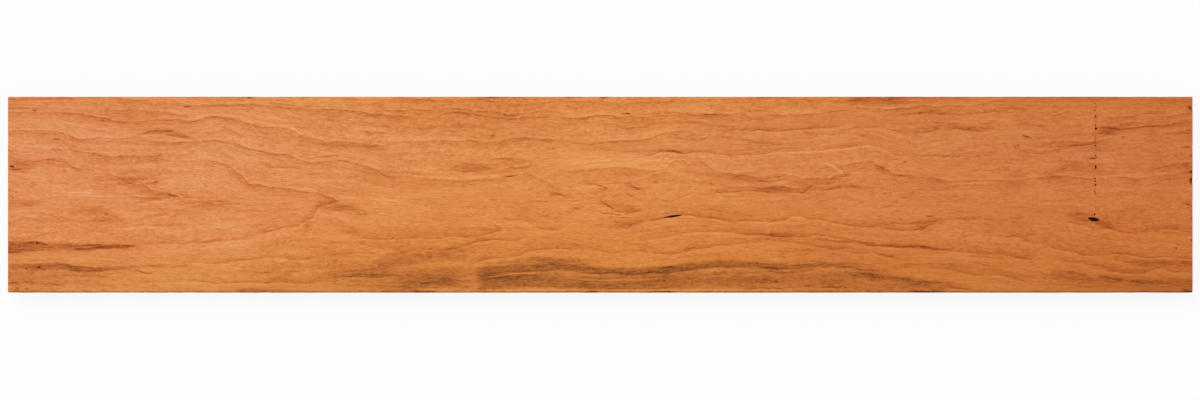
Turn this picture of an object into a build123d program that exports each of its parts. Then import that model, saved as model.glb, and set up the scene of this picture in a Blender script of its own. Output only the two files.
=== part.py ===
from build123d import *
from math import sqrt
import os

# A short cherry board, planed on both faces, ripped to width and cross-cut, all in millimetres.
# It lies flat: +X runs along the grain, +Y across it, +Z up through the show face,
# and the origin is at the middle of the face that it rests on.

# The stock itself
LENGTH = 914.4
WIDTH = 151.3
THICKNESS = 19.05
ARRIS_RADIUS = 0.9

# A pocket in the show face where the bark of a dead twig has fallen out
POCKET_FROM_RIGHT_END = 76.6
POCKET_FROM_UPPER_EDGE = 94.4
POCKET_LENGTH = 9.1
POCKET_UPPER_BULGE = 0.7
POCKET_LOWER_BULGE = 2.2
POCKET_DEPTH = 6.0
POCKET_TAPER = 9.0
POCKET_TURN = -10.0

# A thin seam of bark near the middle of the show face
SEAM_FROM_MIDDLE = 56.4
SEAM_FROM_UPPER_EDGE = 92.4
SEAM_LENGTH = 14.8
SEAM_UPPER_BULGE = 0.75
SEAM_LOWER_BULGE = 0.45
SEAM_DEPTH = 2.0
SEAM_TAPER = 5.0
SEAM_TURN = 6.6

# A row of old bird pecks straight across the grain, as small pits:
# from the upper edge, along the board from the row's line, reach across the grain, width along it
PECK_ROW_FROM_RIGHT_END = 75.0
PECK_DEPTH = 1.1
PECK_TAPER = 10.0
PECKS = [
    (10.4, -0.6, 1.2, 0.9),
    (14.9, -0.1, 1.4, 1.0),
    (21.9, 0.0, 1.1, 0.8),
    (24.5, 0.2, 1.9, 1.6),
    (37.6, -0.1, 1.2, 0.8),
    (45.2, 0.1, 1.3, 1.0),
    (54.0, 0.2, 3.2, 1.2),
    (63.0, 0.0, 1.3, 1.1),
    (65.0, -0.4, 1.5, 1.2),
    (67.8, 0.0, 1.6, 1.4),
    (73.2, -0.5, 1.3, 1.0),
    (91.0, -0.7, 1.6, 1.4),
]

# Drying checks that open at the right end and close along the grain:
# from the upper edge, length, turn towards the upper edge in degrees
CHECK_MOUTH = 0.5
CHECK_DEPTH = 5.0
CHECKS = [
    (9.0, 4.2, -22.0),
    (25.9, 5.4, 6.0),
    (38.7, 6.4, 4.0),
    (81.6, 6.9, 7.0),
]

# Chips broken from the arris of the right end: from the upper edge, length, depth below the arris
END_CHIPS = [
    (58.2, 2.2, 0.9),
    (65.0, 3.2, 1.3),
    (110.7, 1.5, 0.7),
]

# Nicks in the arris of the long edges, where the bark side was just missed by the plane:
# from the left end, length, depth below the arris
UPPER_EDGE_NICKS = [
    (187.5, 2.4, 0.75),
    (382.0, 15.5, 0.6),
    (436.0, 9.6, 0.4),
    (460.0, 4.8, 0.6),
]
LOWER_EDGE_NICKS = [
    (325.0, 11.8, 0.45),
    (451.5, 8.0, 0.4),
    (504.5, 18.3, 0.6),
]

RIGHT_END = LENGTH / 2
LEFT_END = -LENGTH / 2
UPPER_EDGE = WIDTH / 2
LOWER_EDGE = -WIDTH / 2


def blank():
    """The sawn and planed board with every arris eased."""
    stock = Box(LENGTH, WIDTH, THICKNESS, align=(Align.CENTER, Align.CENTER, Align.MIN))
    return fillet(stock.edges(), ARRIS_RADIUS)


def on_show_face(outline, x, y, turn=0.0):
    """An outline moved to its place on the show face and turned about its own middle."""
    return Pos(x, y, THICKNESS) * Rot(0, 0, turn) * outline


def almond(length, upper_bulge, lower_bulge):
    """A pointed outline between two arcs, each as deep as its bulge."""
    tip = length / 2
    upper = ThreePointArc((-tip, 0), (0, upper_bulge), (tip, 0))
    lower = ThreePointArc((tip, 0), (0, -lower_bulge), (-tip, 0))
    return make_face(Curve() + [upper, lower])


def bark_pocket():
    outline = almond(POCKET_LENGTH, POCKET_UPPER_BULGE, POCKET_LOWER_BULGE)
    x = RIGHT_END - POCKET_FROM_RIGHT_END
    y = UPPER_EDGE - POCKET_FROM_UPPER_EDGE
    mouth = on_show_face(outline, x, y, POCKET_TURN)
    return extrude(mouth, amount=-POCKET_DEPTH, taper=POCKET_TAPER)


def bark_seam():
    outline = almond(SEAM_LENGTH, SEAM_UPPER_BULGE, SEAM_LOWER_BULGE)
    mouth = on_show_face(outline, SEAM_FROM_MIDDLE, UPPER_EDGE - SEAM_FROM_UPPER_EDGE, SEAM_TURN)
    return extrude(mouth, amount=-SEAM_DEPTH, taper=SEAM_TAPER)


def peck_pits():
    pits = []
    for from_edge, along, reach, across in PECKS:
        x = RIGHT_END - PECK_ROW_FROM_RIGHT_END + along
        mouth = on_show_face(SlotOverall(reach, across), x, UPPER_EDGE - from_edge, 90.0)
        pits.append(extrude(mouth, amount=-PECK_DEPTH, taper=PECK_TAPER))
    return pits


def end_checks():
    """Each check is a thin wedge that is widest at the end grain and runs out to a point."""
    wedges = []
    for from_edge, length, turn in CHECKS:
        past_end = CHECK_MOUTH
        half_mouth = CHECK_MOUTH / 2 * (length + past_end) / length
        corners = [(past_end, half_mouth), (past_end, -half_mouth), (-length, 0)]
        outline = make_face(Polyline(*corners, close=True))
        mouth = on_show_face(outline, RIGHT_END, UPPER_EDGE - from_edge, -turn)
        wedges.append(extrude(mouth, amount=-CHECK_DEPTH))
    return wedges


def arris_scoop(length, depth):
    """A round scoop along X into the arris where a +Y face and a +Z face meet at the origin."""
    arris_below_corner = ARRIS_RADIUS * (sqrt(2) - 1)
    below_corner = arris_below_corner + depth
    radius = (length**2 / 4 + depth**2) / (2 * depth)
    rod = Cylinder(radius, 4 * below_corner, rotation=(90, 0, 0))
    return Rot(-45, 0, 0) * Pos(0, 0, radius - below_corner) * rod


def edge_nicks():
    scoops = []
    for from_end, length, depth in UPPER_EDGE_NICKS:
        scoops.append(Pos(LEFT_END + from_end, UPPER_EDGE, THICKNESS) * arris_scoop(length, depth))
    for from_end, length, depth in LOWER_EDGE_NICKS:
        turned = Rot(0, 0, 180) * arris_scoop(length, depth)
        scoops.append(Pos(LEFT_END + from_end, LOWER_EDGE, THICKNESS) * turned)
    return scoops


def end_chips():
    scoops = []
    for from_edge, length, depth in END_CHIPS:
        turned = Rot(0, 0, -90) * arris_scoop(length, depth)
        scoops.append(Pos(RIGHT_END, UPPER_EDGE - from_edge, THICKNESS) * turned)
    return scoops


def cherry_board():
    board = blank()
    board -= [bark_pocket(), bark_seam(), *peck_pits()]
    board -= [*end_checks(), *end_chips(), *edge_nicks()]
    return board


os.makedirs("parts", exist_ok=True)
export_step(cherry_board(), "parts/cherry_board.step")
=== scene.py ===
import bmesh
import bpy
from math import radians
from mathutils import Matrix, Vector, noise


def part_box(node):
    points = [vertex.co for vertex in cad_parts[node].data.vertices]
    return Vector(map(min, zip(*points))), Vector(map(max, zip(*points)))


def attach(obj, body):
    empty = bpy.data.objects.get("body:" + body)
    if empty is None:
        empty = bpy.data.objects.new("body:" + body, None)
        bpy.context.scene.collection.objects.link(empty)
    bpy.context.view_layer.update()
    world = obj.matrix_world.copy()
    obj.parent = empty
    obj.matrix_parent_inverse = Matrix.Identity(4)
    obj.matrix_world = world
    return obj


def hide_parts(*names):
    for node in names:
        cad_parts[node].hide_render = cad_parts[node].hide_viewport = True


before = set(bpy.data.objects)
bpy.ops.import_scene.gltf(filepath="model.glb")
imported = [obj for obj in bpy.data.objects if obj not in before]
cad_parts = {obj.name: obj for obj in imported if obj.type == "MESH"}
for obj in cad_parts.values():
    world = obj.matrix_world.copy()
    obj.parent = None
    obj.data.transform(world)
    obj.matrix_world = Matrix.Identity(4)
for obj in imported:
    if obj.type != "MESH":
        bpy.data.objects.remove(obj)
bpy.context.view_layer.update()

# The board: one length of flat-sawn cherry, planed on both faces, jointed on its edges and cross-cut.
# It is modelled as the sawn blank with eased arrises, and its marks are cut into it afterwards.
MM = 0.001
low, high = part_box("cherry_board")
LENGTH, WIDTH, THICKNESS = high - low
STATION = 6.0 * MM
ARRIS = 0.9 * MM
ARRIS_STEPS = 4
ARRIS_ANGLE = radians(80)
FLAT = 0.999
ARRIS_WEAR = 0.22 * MM
WEAR_LENGTH = 9 * MM
CHIP_LENGTH = 3 * MM
CHIP_SHARE = 0.6

blank = bmesh.new()
bmesh.ops.create_cube(blank, size=1.0)
bmesh.ops.scale(blank, vec=high - low, verts=blank.verts)
bmesh.ops.translate(blank, vec=(low + high) / 2, verts=blank.verts)
for axis, size in ((0, LENGTH), (1, WIDTH)):
    across = Vector((axis == 0, axis == 1, 0))
    stations = 2 * round(size / STATION / 2)
    for station in range(1, stations):
        everything = blank.verts[:] + blank.edges[:] + blank.faces[:]
        place = across * (low[axis] + size * station / stations)
        bmesh.ops.bisect_plane(blank, geom=everything, plane_co=place, plane_no=across)
arrises = [edge for edge in blank.edges if edge.calc_face_angle() > ARRIS_ANGLE]
bmesh.ops.bevel(
    blank, geom=arrises, offset=ARRIS, offset_type="OFFSET", segments=ARRIS_STEPS, profile=0.5,
    affect="EDGES", material=-1,
)
blank.normal_update()
for vert in blank.verts:
    on_flat = any(abs(c) > FLAT for c in vert.normal)
    if not on_flat:
        worn = noise.noise(vert.co / WEAR_LENGTH) + CHIP_SHARE * noise.noise(vert.co / CHIP_LENGTH)
        vert.co -= vert.normal * ARRIS_WEAR * max(0.0, worn)

# Places on the show face are given in the photograph's pixels, 1200 by 400: columns from the left end to
# the right, and rows downwards from above the upper edge.
LENGTH_MM, WIDTH_MM, THICKNESS_MM = LENGTH / MM, WIDTH / MM, THICKNESS / MM
PHOTO_LEFT_END = 7.75
PHOTO_RIGHT_END = 1192.78
PHOTO_MIDDLE_ROW = 194.70
MM_PER_PIXEL = LENGTH_MM / (PHOTO_RIGHT_END - PHOTO_LEFT_END)


def across_mm(row):
    """Distance above the board's middle, in millimetres, of a row of the photograph."""
    return (PHOTO_MIDDLE_ROW - row) * MM_PER_PIXEL


def along_mm(column):
    """Distance right of the board's middle, in millimetres, of a column of the photograph."""
    return (column - (PHOTO_LEFT_END + PHOTO_RIGHT_END) / 2) * MM_PER_PIXEL


# Marks cut into the blank: the bark pocket and the seam that a dead twig left, the row of bird pecks,
# the drying checks at the right end, and the nicks in the show face's arrises. Sizes are in millimetres.
PIT_SIDES = 28
PIT_TAPER = 0.55
PIT_RAGGED = 0.2
PIT_LUMPS = 2.5
cutter = bmesh.new()


def sink(column, row, length, width, depth, turn=0.0, point=0.0, upper=1.0):
    """A tapered pit in the show face: its middle in pixels, its size in millimetres, its turn in degrees.

    Its ends are drawn out by point, and its upper side is flattened to the share upper.
    """
    mouth = 2 / (1 + PIT_TAPER)
    pit = bmesh.ops.create_cone(
        cutter, cap_ends=True, segments=PIT_SIDES, radius1=PIT_TAPER * mouth, radius2=mouth, depth=2.0
    )["verts"]
    for vert in pit:
        reach = vert.co.xy.length
        vert.co.y *= (abs(vert.co.y) / reach) ** (2 * point)
        vert.co.y *= upper if vert.co.y > 0 else 1.0
        ragged = noise.noise(Vector((column, row, 0)) + PIT_LUMPS * vert.co)
        vert.co.y *= 1 + PIT_RAGGED * ragged
    place = Matrix.Translation((along_mm(column) * MM, across_mm(row) * MM, high.z))
    place @= Matrix.Rotation(radians(turn), 4, "Z")
    place @= Matrix.Diagonal((length / 2 * MM, width / 2 * MM, depth * MM, 1))
    bmesh.ops.transform(cutter, matrix=place, verts=pit)


# The bark pocket, then the seam
sink(1093.7, 218.7, length=9.4, width=4.4, depth=6.0, turn=-10, point=0.35, upper=0.5)
sink(673.4, 216.2, length=15.4, width=1.7, depth=2.0, turn=8, point=0.4)

# Pecks, as column, row, length and width
PECK_DEPTH = 1.1
PECKS = [
    (1094.7, 110.3, 1.0, 1.2),
    (1095.3, 116.2, 1.1, 1.4),
    (1095.5, 125.2, 0.9, 1.1),
    (1095.9, 128.5, 1.8, 1.9),
    (1095.4, 145.5, 0.8, 1.2),
    (1095.7, 155.4, 1.0, 1.2),
    (1095.7, 166.9, 1.3, 3.2),
    (1095.3, 178.3, 1.1, 1.3),
    (1095.0, 181.0, 1.2, 1.5),
    (1095.4, 184.7, 1.4, 1.6),
    (1094.8, 191.6, 1.0, 1.3),
    (1094.6, 214.5, 1.4, 1.6),
]
for column, row, length, width in PECKS:
    sink(column, row, length, width, PECK_DEPTH)

# Checks, as row, length and turn: wedges that run in from the end and close
CHECK_MOUTH = 0.5
CHECK_TIP = 0.04
CHECK_DEPTH = 5.0
CHECKS = [
    (107.5, 4.2, -22.0),
    (130.4, 5.4, 6.0),
    (147.0, 6.4, 4.0),
    (202.5, 6.9, 7.0),
]
for row, length, turn in CHECKS:
    wedge = bmesh.ops.create_cube(cutter, size=2.0)["verts"]
    for vert in wedge:
        if vert.co.x < 0:
            vert.co.y *= CHECK_TIP
    place = Matrix.Translation((high.x, across_mm(row) * MM, high.z))
    place @= Matrix.Rotation(radians(-turn), 4, "Z")
    place @= Matrix.Diagonal((length * MM, CHECK_MOUTH * MM, CHECK_DEPTH * MM, 1))
    bmesh.ops.transform(cutter, matrix=place, verts=wedge)

# Nicks, as the place along the edge or end, length and depth. Each is centred on the eased arris's round,
# which lies this far inside the two faces that meet there.
ARRIS_ROUND = ARRIS * 0.29
NICK_RAGGED = 0.25
NICK_LUMPS = 2
UPPER_NICKS = [(251, 3.0, 0.9), (502, 15.5, 0.8), (573, 9.6, 0.6), (604, 5.0, 0.8)]
LOWER_NICKS = [(428.5, 11.8, 0.6), (593, 8.0, 0.55), (661.5, 18.3, 0.8)]
END_NICKS = [(172.4, 2.2, 1.2), (181.2, 3.4, 1.6), (240.3, 1.5, 1.0)]
TO_UPPER_EDGE = Vector((0, 1, 0))
TO_LOWER_EDGE = Vector((0, -1, 0))
TO_RIGHT_END = Vector((1, 0, 0))


def nick(x, y, out, length, depth):
    """A hollow broken out of the show face's arris, whose outward direction is out."""
    hollow = bmesh.ops.create_icosphere(cutter, subdivisions=2, radius=1.0)["verts"]
    for vert in hollow:
        vert.co *= 1 + NICK_RAGGED * noise.noise(Vector((x, y, 0)) / MM + NICK_LUMPS * vert.co)
    turn = TO_RIGHT_END.rotation_difference(out).to_matrix().to_4x4()
    place = Matrix.Translation((x - out.x * ARRIS_ROUND, y - out.y * ARRIS_ROUND, high.z - ARRIS_ROUND))
    place @= turn @ Matrix.Diagonal((depth * MM, length / 2 * MM, depth * MM, 1))
    bmesh.ops.transform(cutter, matrix=place, verts=hollow)


for column, length, depth in UPPER_NICKS:
    nick(along_mm(column) * MM, high.y, TO_UPPER_EDGE, length, depth)
for column, length, depth in LOWER_NICKS:
    nick(along_mm(column) * MM, low.y, TO_LOWER_EDGE, length, depth)
for row, length, depth in END_NICKS:
    nick(high.x, across_mm(row) * MM, TO_RIGHT_END, length, depth)

cutter_mesh = bpy.data.meshes.new("marks")
cutter.normal_update()
cutter.to_mesh(cutter_mesh)
cutter_object = bpy.data.objects.new("marks", cutter_mesh)
bpy.context.scene.collection.objects.link(cutter_object)
blank_mesh = bpy.data.meshes.new("blank")
blank.to_mesh(blank_mesh)
board = bpy.data.objects.new("cherry_board_planed", blank_mesh)
bpy.context.scene.collection.objects.link(board)
cut = board.modifiers.new("cut marks", "BOOLEAN")
cut.object = cutter_object
cut.operation = "DIFFERENCE"
cut.solver = "EXACT"
bpy.context.view_layer.update()
marked = board.evaluated_get(bpy.context.evaluated_depsgraph_get())
board_mesh = bpy.data.meshes.new_from_object(marked)
board.modifiers.clear()
board.data = board_mesh
bpy.data.objects.remove(cutter_object)
board_mesh.polygons.foreach_set("use_smooth", [True] * len(board_mesh.polygons))
board_mesh.set_sharp_from_angle(angle=radians(30))
even_normals = board.modifiers.new("even normals", "WEIGHTED_NORMAL")
even_normals.keep_sharp = True

# One map for the whole board, laid out from these corners in pixels: the show face in two halves, the back
# and the edges at half that scale, and the two ends. Walls of the marks are laid as seen from above.
MAP_PIXELS = 1024
FINE = 2.222 / MM
COARSE = 1.111 / MM
SKIN = 1.5 * MM
SHOW_LEFT = (4, 4)
SHOW_RIGHT = (4, 348)
BACK = (4, 692)
UPPER_EDGE = (4, 868)
LOWER_EDGE = (4, 896)
LEFT_END = (4, 924)
RIGHT_END = (348, 924)
bake_map = board_mesh.uv_layers.new(name="OFBake")
for face in board_mesh.polygons:
    spot, out = face.center, face.normal
    steepest = max(range(3), key=lambda axis: abs(out[axis]))
    start = low
    if steepest == 0 and LENGTH / 2 - abs(spot.x) < SKIN:
        axes, scale, corner = (1, 2), FINE, LEFT_END if spot.x < 0 else RIGHT_END
    elif steepest == 1 and WIDTH / 2 - abs(spot.y) < SKIN:
        axes, scale, corner = (0, 2), COARSE, UPPER_EDGE if spot.y > 0 else LOWER_EDGE
    elif spot.z < SKIN:
        axes, scale, corner = (0, 1), COARSE, BACK
    elif spot.x < 0:
        axes, scale, corner = (0, 1), FINE, SHOW_LEFT
    else:
        axes, scale, corner = (0, 1), FINE, SHOW_RIGHT
        start = Vector((0, low.y, 0))
    for loop in face.loop_indices:
        point = board_mesh.vertices[board_mesh.loops[loop].vertex_index].co
        pixel = [c + (point[axis] - start[axis]) * scale for c, axis in zip(corner, axes)]
        bake_map.data[loop].uv = [p / MAP_PIXELS for p in pixel]

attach(board, "root")
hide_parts("cherry_board")

# The wood: black cherry, flat-sawn, planed and bare. Orange-brown heartwood with thin dark late-wood lines
# that close to tongues along the middle of the show face, because the saw ran on a slant to the pith.
# Lines were placed on the photograph: column, row, darkness and width, which hold until changed.
LATE_WOOD_SHADED_BELOW = [
    [(112, 98, 0, 1.35), (118, 98.5, 0.4), (123, 98.7, 0.5), (130, 99.7, 0.35), (145, 100.2, 0.3),
     (160, 102, 0.35), (178, 104), (185, 104.5, 0.4), (195, 105.3, 0.55), (208, 105, 0.6), (214, 105.8),
     (223, 104.5), (230, 105.3), (243, 104.2), (250, 104, 0.6), (262, 105.8, 0.5), (270, 106.5),
     (285, 108, 0.4), (300, 109), (314, 109.8, 0.5), (338, 109.8), (345, 110.8, 0.6), (352, 111.3),
     (358, 111), (365, 112.8, 0.7), (370, 114), (380, 114.5, 0.65), (392, 115.7), (405, 116.3, 0.6),
     (418, 117.3, 0.55), (428, 118, 0.4), (433, 119), (438, 118.3), (442, 115.5, 0.45), (446, 113.5, 0.5),
     (452, 112.4), (470, 113.5), (476, 114.5, 0.55), (480, 115.5), (492, 117), (503, 118, 0.65),
     (511, 118.8, 0.7), (521, 118), (526, 117.3, 0.4), (540, 117, 0.35), (552, 117), (560, 117.5, 0.5),
     (566, 118, 0.75), (572, 118.3, 0.8), (580, 118.2), (586, 117.3), (592, 116.5), (602, 115.5, 0.65),
     (613, 116), (618, 117.3, 0.6), (628, 116.7), (646, 117.2), (658, 116.2), (674, 115.7), (690, 115),
     (700, 115.5, 0.65), (712, 114.3, 0.7), (725, 114.5, 0.5), (740, 113), (748, 112, 0.45),
     (760, 110.5, 0.4), (770, 111.5), (780, 112, 0.35), (788, 113.5, 0.15), (795, 115, 0.35),
     (807, 114.5, 0.55), (815, 113.8, 0.6), (825, 112.5), (832, 111.5), (840, 110.8, 0.55),
     (853, 110.2, 0.5), (860, 108.5), (875, 108.5, 0.45), (885, 110, 0.7), (892, 109.8, 0.8),
     (899, 108.5, 0.7), (905, 108, 0.65), (910, 107.5, 0.5), (921, 105.5), (931, 106.5), (938, 107.3),
     (950, 105.8), (960, 105.8), (967, 107, 0.25), (971, 105.8, 0.5), (977, 105, 0.6), (982, 104.2, 0.55),
     (988, 103), (994, 101.5, 0.45), (999, 100.5), (1005, 100, 0.35), (1015, 99.5, 0)],
    [(270, 102.5, 0.25, 1.1), (277, 103.5, 0.8), (284, 104.5), (288, 105, 0.3), (292, 105.3, 0.7),
     (300, 106, 0.6), (305, 106.2, 0.4), (309, 106, 0.6), (318, 106.5, 0.3), (340, 107, 0.25),
     (350, 108.3, 0.35), (360, 109.5, 0.25), (370, 110.8, 0.4), (382, 111, 0.45), (398, 110),
     (405, 110.8), (412, 110), (430, 110), (438, 109), (446, 108.5), (458, 108.7), (470, 110, 0.4),
     (485, 111), (490, 111, 0.6), (497, 112, 0.55), (503, 114, 0.5), (508, 115), (513, 114),
     (520, 113.5, 0.4), (532, 113), (536, 112), (541, 110.7, 0.55), (546, 112, 0.35), (552, 111.5, 0.4),
     (558, 112, 0.45), (563, 114.5), (567, 116.5, 0.2), (575, 116, 0)],
    [(612, 113.5, 0, 1.1), (620, 113, 0.3), (626, 113.3, 0.7), (630, 113.4), (634, 113.7, 0.45),
     (648, 113.7, 0.4), (655, 112.5), (670, 112, 0.5), (684, 113), (695, 113, 0.6), (702, 113.8, 0.7),
     (712, 113.8, 0.65), (717, 113.5, 0.4), (730, 114.5, 0.1), (742, 114.5, 0.3), (748, 117, 0.45),
     (752, 118, 0.5), (757, 118.5), (762, 117.5), (768, 114.8, 0.45), (785, 115.5, 0.4), (792, 115.3, 0)],
    [(345, 98, 0.25, 1.1), (358, 99.3), (380, 100, 0.2), (402, 97.8, 0.4), (412, 98.5, 0.5),
     (430, 100, 0.45), (450, 100, 0.35), (474, 99.5), (480, 99), (486, 100), (492, 101, 0.45),
     (498, 102, 0.5), (504, 103, 0.55), (510, 104), (522, 104.5), (534, 104, 0.5), (546, 102.5, 0.45),
     (558, 101.3), (566, 101, 0.4), (582, 101.5, 0.35), (600, 101), (605, 101, 0.4), (609, 102.5, 0.5),
     (613, 103.5), (620, 104), (634, 103), (650, 102.5), (662, 102, 0.45), (668, 101.5, 0.4),
     (675, 101, 0.3), (700, 99.8, 0.25), (745, 99, 0.2), (756, 98.5, 0.4), (760, 97.7), (785, 98),
     (792, 98.8), (800, 99, 0.1), (846, 100.5, 0.2), (850, 100, 0.45), (854, 98.5, 0.6), (870, 98, 0.5),
     (905, 98, 0.5)],
    [(8, 107.5, 0.5), (15, 108.5, 0.3), (22, 107.5, 0.4), (30, 109, 0.25), (60, 109), (75, 109.5, 0.3),
     (90, 111, 0.2), (100, 110.8, 0.35), (125, 110.8), (131, 109.7, 0.5), (137, 110, 0.4),
     (145, 111, 0.35), (160, 112.8), (176, 114, 0.4), (182, 115, 0.5), (186, 115.8), (192, 116.5, 0)],
    [(8, 112.5, 0.35), (33, 113, 0.3), (54, 112, 0.35), (60, 113, 0.5), (76, 113.6), (86, 115),
     (92, 116, 0.6), (98, 117.5, 0.75), (104, 118, 0.8), (108, 119.2, 0.75), (114, 120.8, 0.55),
     (120, 121.8, 0.5), (134, 122.3, 0.45), (138, 122.3, 0.6), (146, 121, 0.55), (156, 120, 0.45),
     (162, 118.9, 0.5), (166, 120), (178, 119.5, 0.55), (182, 120.5, 0.7), (186, 121.7, 0.8), (190, 122),
     (194, 121.3), (198, 120.3), (202, 118.8), (206, 117.6), (210, 117, 0.7), (215, 116.7), (222, 117.5),
     (234, 118.5, 0.6), (240, 120), (245, 122, 0.65), (250, 124), (256, 125.5), (262, 126.5),
     (268, 127.3), (280, 128, 0.6), (286, 129), (291, 130.5), (295, 131.2), (298, 133, 0.55), (300, 135),
     (305, 137), (310, 138.5), (316, 139), (320, 140.3, 0.6), (324, 141.5), (329, 142.5),
     (340, 141.5, 0.55), (352, 142.8, 0.6), (364, 144.3, 0.7), (370, 145.3), (376, 146),
     (382, 145.8, 0.65), (386, 144.8, 0.5), (390, 143.3, 0.45), (396, 142.5), (410, 141.7, 0.4),
     (426, 141.3), (440, 140.3, 0.45), (448, 141, 0.55), (456, 141.5), (470, 141), (482, 142),
     (488, 142.5, 0.5), (494, 142), (500, 141.5, 0.45), (505, 140), (510, 139, 0.5), (520, 138, 0.6),
     (524, 137.5), (530, 138.3), (546, 139.5, 0.55), (554, 139.5, 0.45), (562, 140.5), (574, 142, 0.5),
     (580, 143.3), (592, 144), (602, 142.6, 0.55), (618, 141.2, 0.65), (634, 141), (645, 139.5),
     (650, 138.3), (654, 137), (658, 135.3, 0.6), (666, 133.3), (671, 132.5, 0.5), (684, 131.7, 0.45),
     (690, 131.5, 0.6), (693, 133, 0.5), (696, 134.5, 0.3), (702, 136, 0)],
    [(8, 131, 0.35), (24, 131), (40, 130.5), (52, 131.5), (58, 132, 0.25), (65, 133.5, 0.2),
     (70, 135.5, 0.5), (72, 136.3, 0.8), (75, 137.8, 0.9), (82, 139.6), (88, 139.3, 0.85), (92, 139, 0.6),
     (97, 137.8, 0.5), (108, 138.5), (116, 139.5), (122, 138.8), (130, 138.5, 0.45), (140, 139.7),
     (150, 141), (160, 142), (172, 143), (178, 142.5, 0.6), (181, 141.5, 0.65), (192, 142.8, 0.5),
     (204, 141.5, 0.45), (214, 140.5, 0.5), (226, 142), (232, 143), (238, 144.5, 0.6), (242, 146),
     (246, 148), (250, 149.5, 0.55), (256, 150, 0.5), (262, 151, 0.65), (267, 152.5), (272, 153.5, 0.7),
     (284, 154.5), (289, 155.5), (294, 157.5, 0.6), (298, 159.5), (302, 160.7, 0.5), (312, 162.3, 0.45),
     (335, 161), (342, 160.5, 0.5), (347, 161.5, 0.6), (350, 163, 0.6), (362, 165.3, 0.58),
     (371, 168, 0.6), (375, 169.5), (378, 171), (381, 173, 0.56), (384, 175), (388, 176), (400, 177, 0.5),
     (416, 178), (432, 179.3), (448, 180), (463, 181, 0.45), (478, 180), (492, 179), (502, 178.5),
     (506, 178, 0.2), (510, 177.5, 0)],
    [(526, 173, 0.3), (530, 175, 0.4), (540, 179), (549, 183), (554, 188, 0.3)],
    [(8, 150.5, 0.25), (34, 151), (50, 149.5, 0.3), (68, 149.5), (75, 150.5, 0.35), (80, 152, 0.4),
     (86, 153, 0.5), (92, 153.3, 0.6), (95, 153.3, 0.65), (98, 154.7), (101, 155.5, 0.6),
     (112, 156.6, 0.55), (118, 156), (123, 155.5, 0.6), (134, 156.2, 0.5), (143, 155.5, 0.4),
     (150, 156, 0.35), (155, 157), (160, 158.5, 0.4), (164, 159.8), (170, 160.5, 0.3), (186, 161.5),
     (192, 160.5, 0.35), (206, 160), (212, 161, 0.6), (217, 162, 0.7), (222, 163.5), (227, 165.5),
     (231, 168), (234, 171, 0.75), (237, 173), (241, 175.5, 0.7), (245, 178.5, 0.65), (247, 182, 0.6),
     (249, 184.3, 0.7), (252, 184.8, 0.75), (258, 185, 0.8), (263, 186), (268, 187.2, 0.75),
     (281, 188.3, 0.65), (292, 189.5, 0.6), (303, 192, 0.55), (316, 193.3, 0.5), (325, 195.5, 0.55),
     (330, 197), (334, 199, 0.6), (336.5, 200.7), (338, 201, 0)],
    [(20, 160.5, 0.35), (33, 161), (44, 160, 0.5), (48, 159, 0.7), (52, 159), (56, 160, 0.5),
     (60, 161, 0.4), (66, 161.8), (70, 163.5), (72, 166.5, 0.5), (75, 168, 0.55), (80, 169, 0.5),
     (85, 169, 0.4), (89, 168.2), (92, 171, 0.35), (95, 173, 0.4), (104, 173), (112, 175), (116, 176.5),
     (120, 178), (124, 179), (127, 180, 0.5), (129, 182), (131, 184, 0.55), (133, 185), (138, 185, 0.5),
     (144, 183.7, 0.45), (150, 183, 0.55), (156, 181.5, 0.45), (160, 180, 0)],
    [(143, 184.5, 0.4), (146, 186.5, 0.55), (149, 189, 0.6), (154, 190.8, 0.5), (160, 192), (166, 193),
     (172, 194.5, 0.55), (174.5, 195.5, 0.5)],
    [(497, 158.7, 0.5), (503, 158.7, 0.65), (516, 158.5, 0.6), (522, 159.3, 0.45), (530, 161.5, 0.3)],
    [(502, 170, 0.4), (508, 168.5), (514, 167), (522, 167.5), (526, 167)],
    [(575, 171, 0.2), (588, 170, 0.4), (600, 169, 0.45), (614, 167.6, 0.5), (630, 168.3),
     (644, 170.3, 0.6), (656, 170.8, 0.55), (662, 170.5), (666, 169.5, 0.6), (668, 167), (670, 164),
     (672, 162), (675, 160.7, 0.5), (680, 160.5, 0.4), (684, 161.3, 0.5), (687, 163, 0.55), (690, 165.5),
     (693, 164, 0.4), (697, 162, 0.35), (700, 161.6, 0.4), (704, 163.5, 0.45), (708, 166), (713, 169),
     (720, 171.5, 0.5), (728, 173), (735, 174.5, 0.55), (745, 175.3, 0.6), (749, 176, 0.65), (754, 178),
     (759, 180), (765, 180.8, 0.6), (773, 181), (779, 179.5, 0.5), (785, 178.5, 0.35), (792, 178, 0)],
    [(776, 173.8, 0.4), (783, 174.5, 0.5), (790, 175.8), (799, 177.8), (805, 178.8), (810, 178.2),
     (823, 178.8, 0.4), (830, 178.3, 0.5), (835, 176.2, 0.55), (840, 175.2), (845, 174.6, 0.6)],
    [(843, 167, 0.4), (845, 165.5), (849, 164.5, 0.45), (860, 162.5), (870, 161.5, 0.5), (873, 161.5),
     (875, 163), (878, 165.5, 0.55), (881, 167.5, 0.6), (885, 168.5), (888, 170.5), (890, 172.5, 0.65),
     (894, 173.8, 0.7), (905, 174.8, 0.75), (913, 175.3), (914.5, 176.2, 0.6), (918, 177.2, 0.45),
     (928, 178.5), (935, 179.3, 0.5), (940, 180, 0.35), (950, 181.5, 0.45), (963, 181, 0.5), (985, 181),
     (997, 180.5), (1013, 180.8), (1020, 180.5, 0.45), (1035, 178.5, 0.35), (1045, 177.3, 0.5),
     (1060, 176, 0.45), (1068, 176.5), (1075, 178), (1085, 179, 0.5), (1090, 179.2, 0.4),
     (1100, 179, 0.15), (1120, 177.2, 0.2), (1126, 177.5, 0.8), (1129, 178, 0.9), (1133, 178.7),
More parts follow.
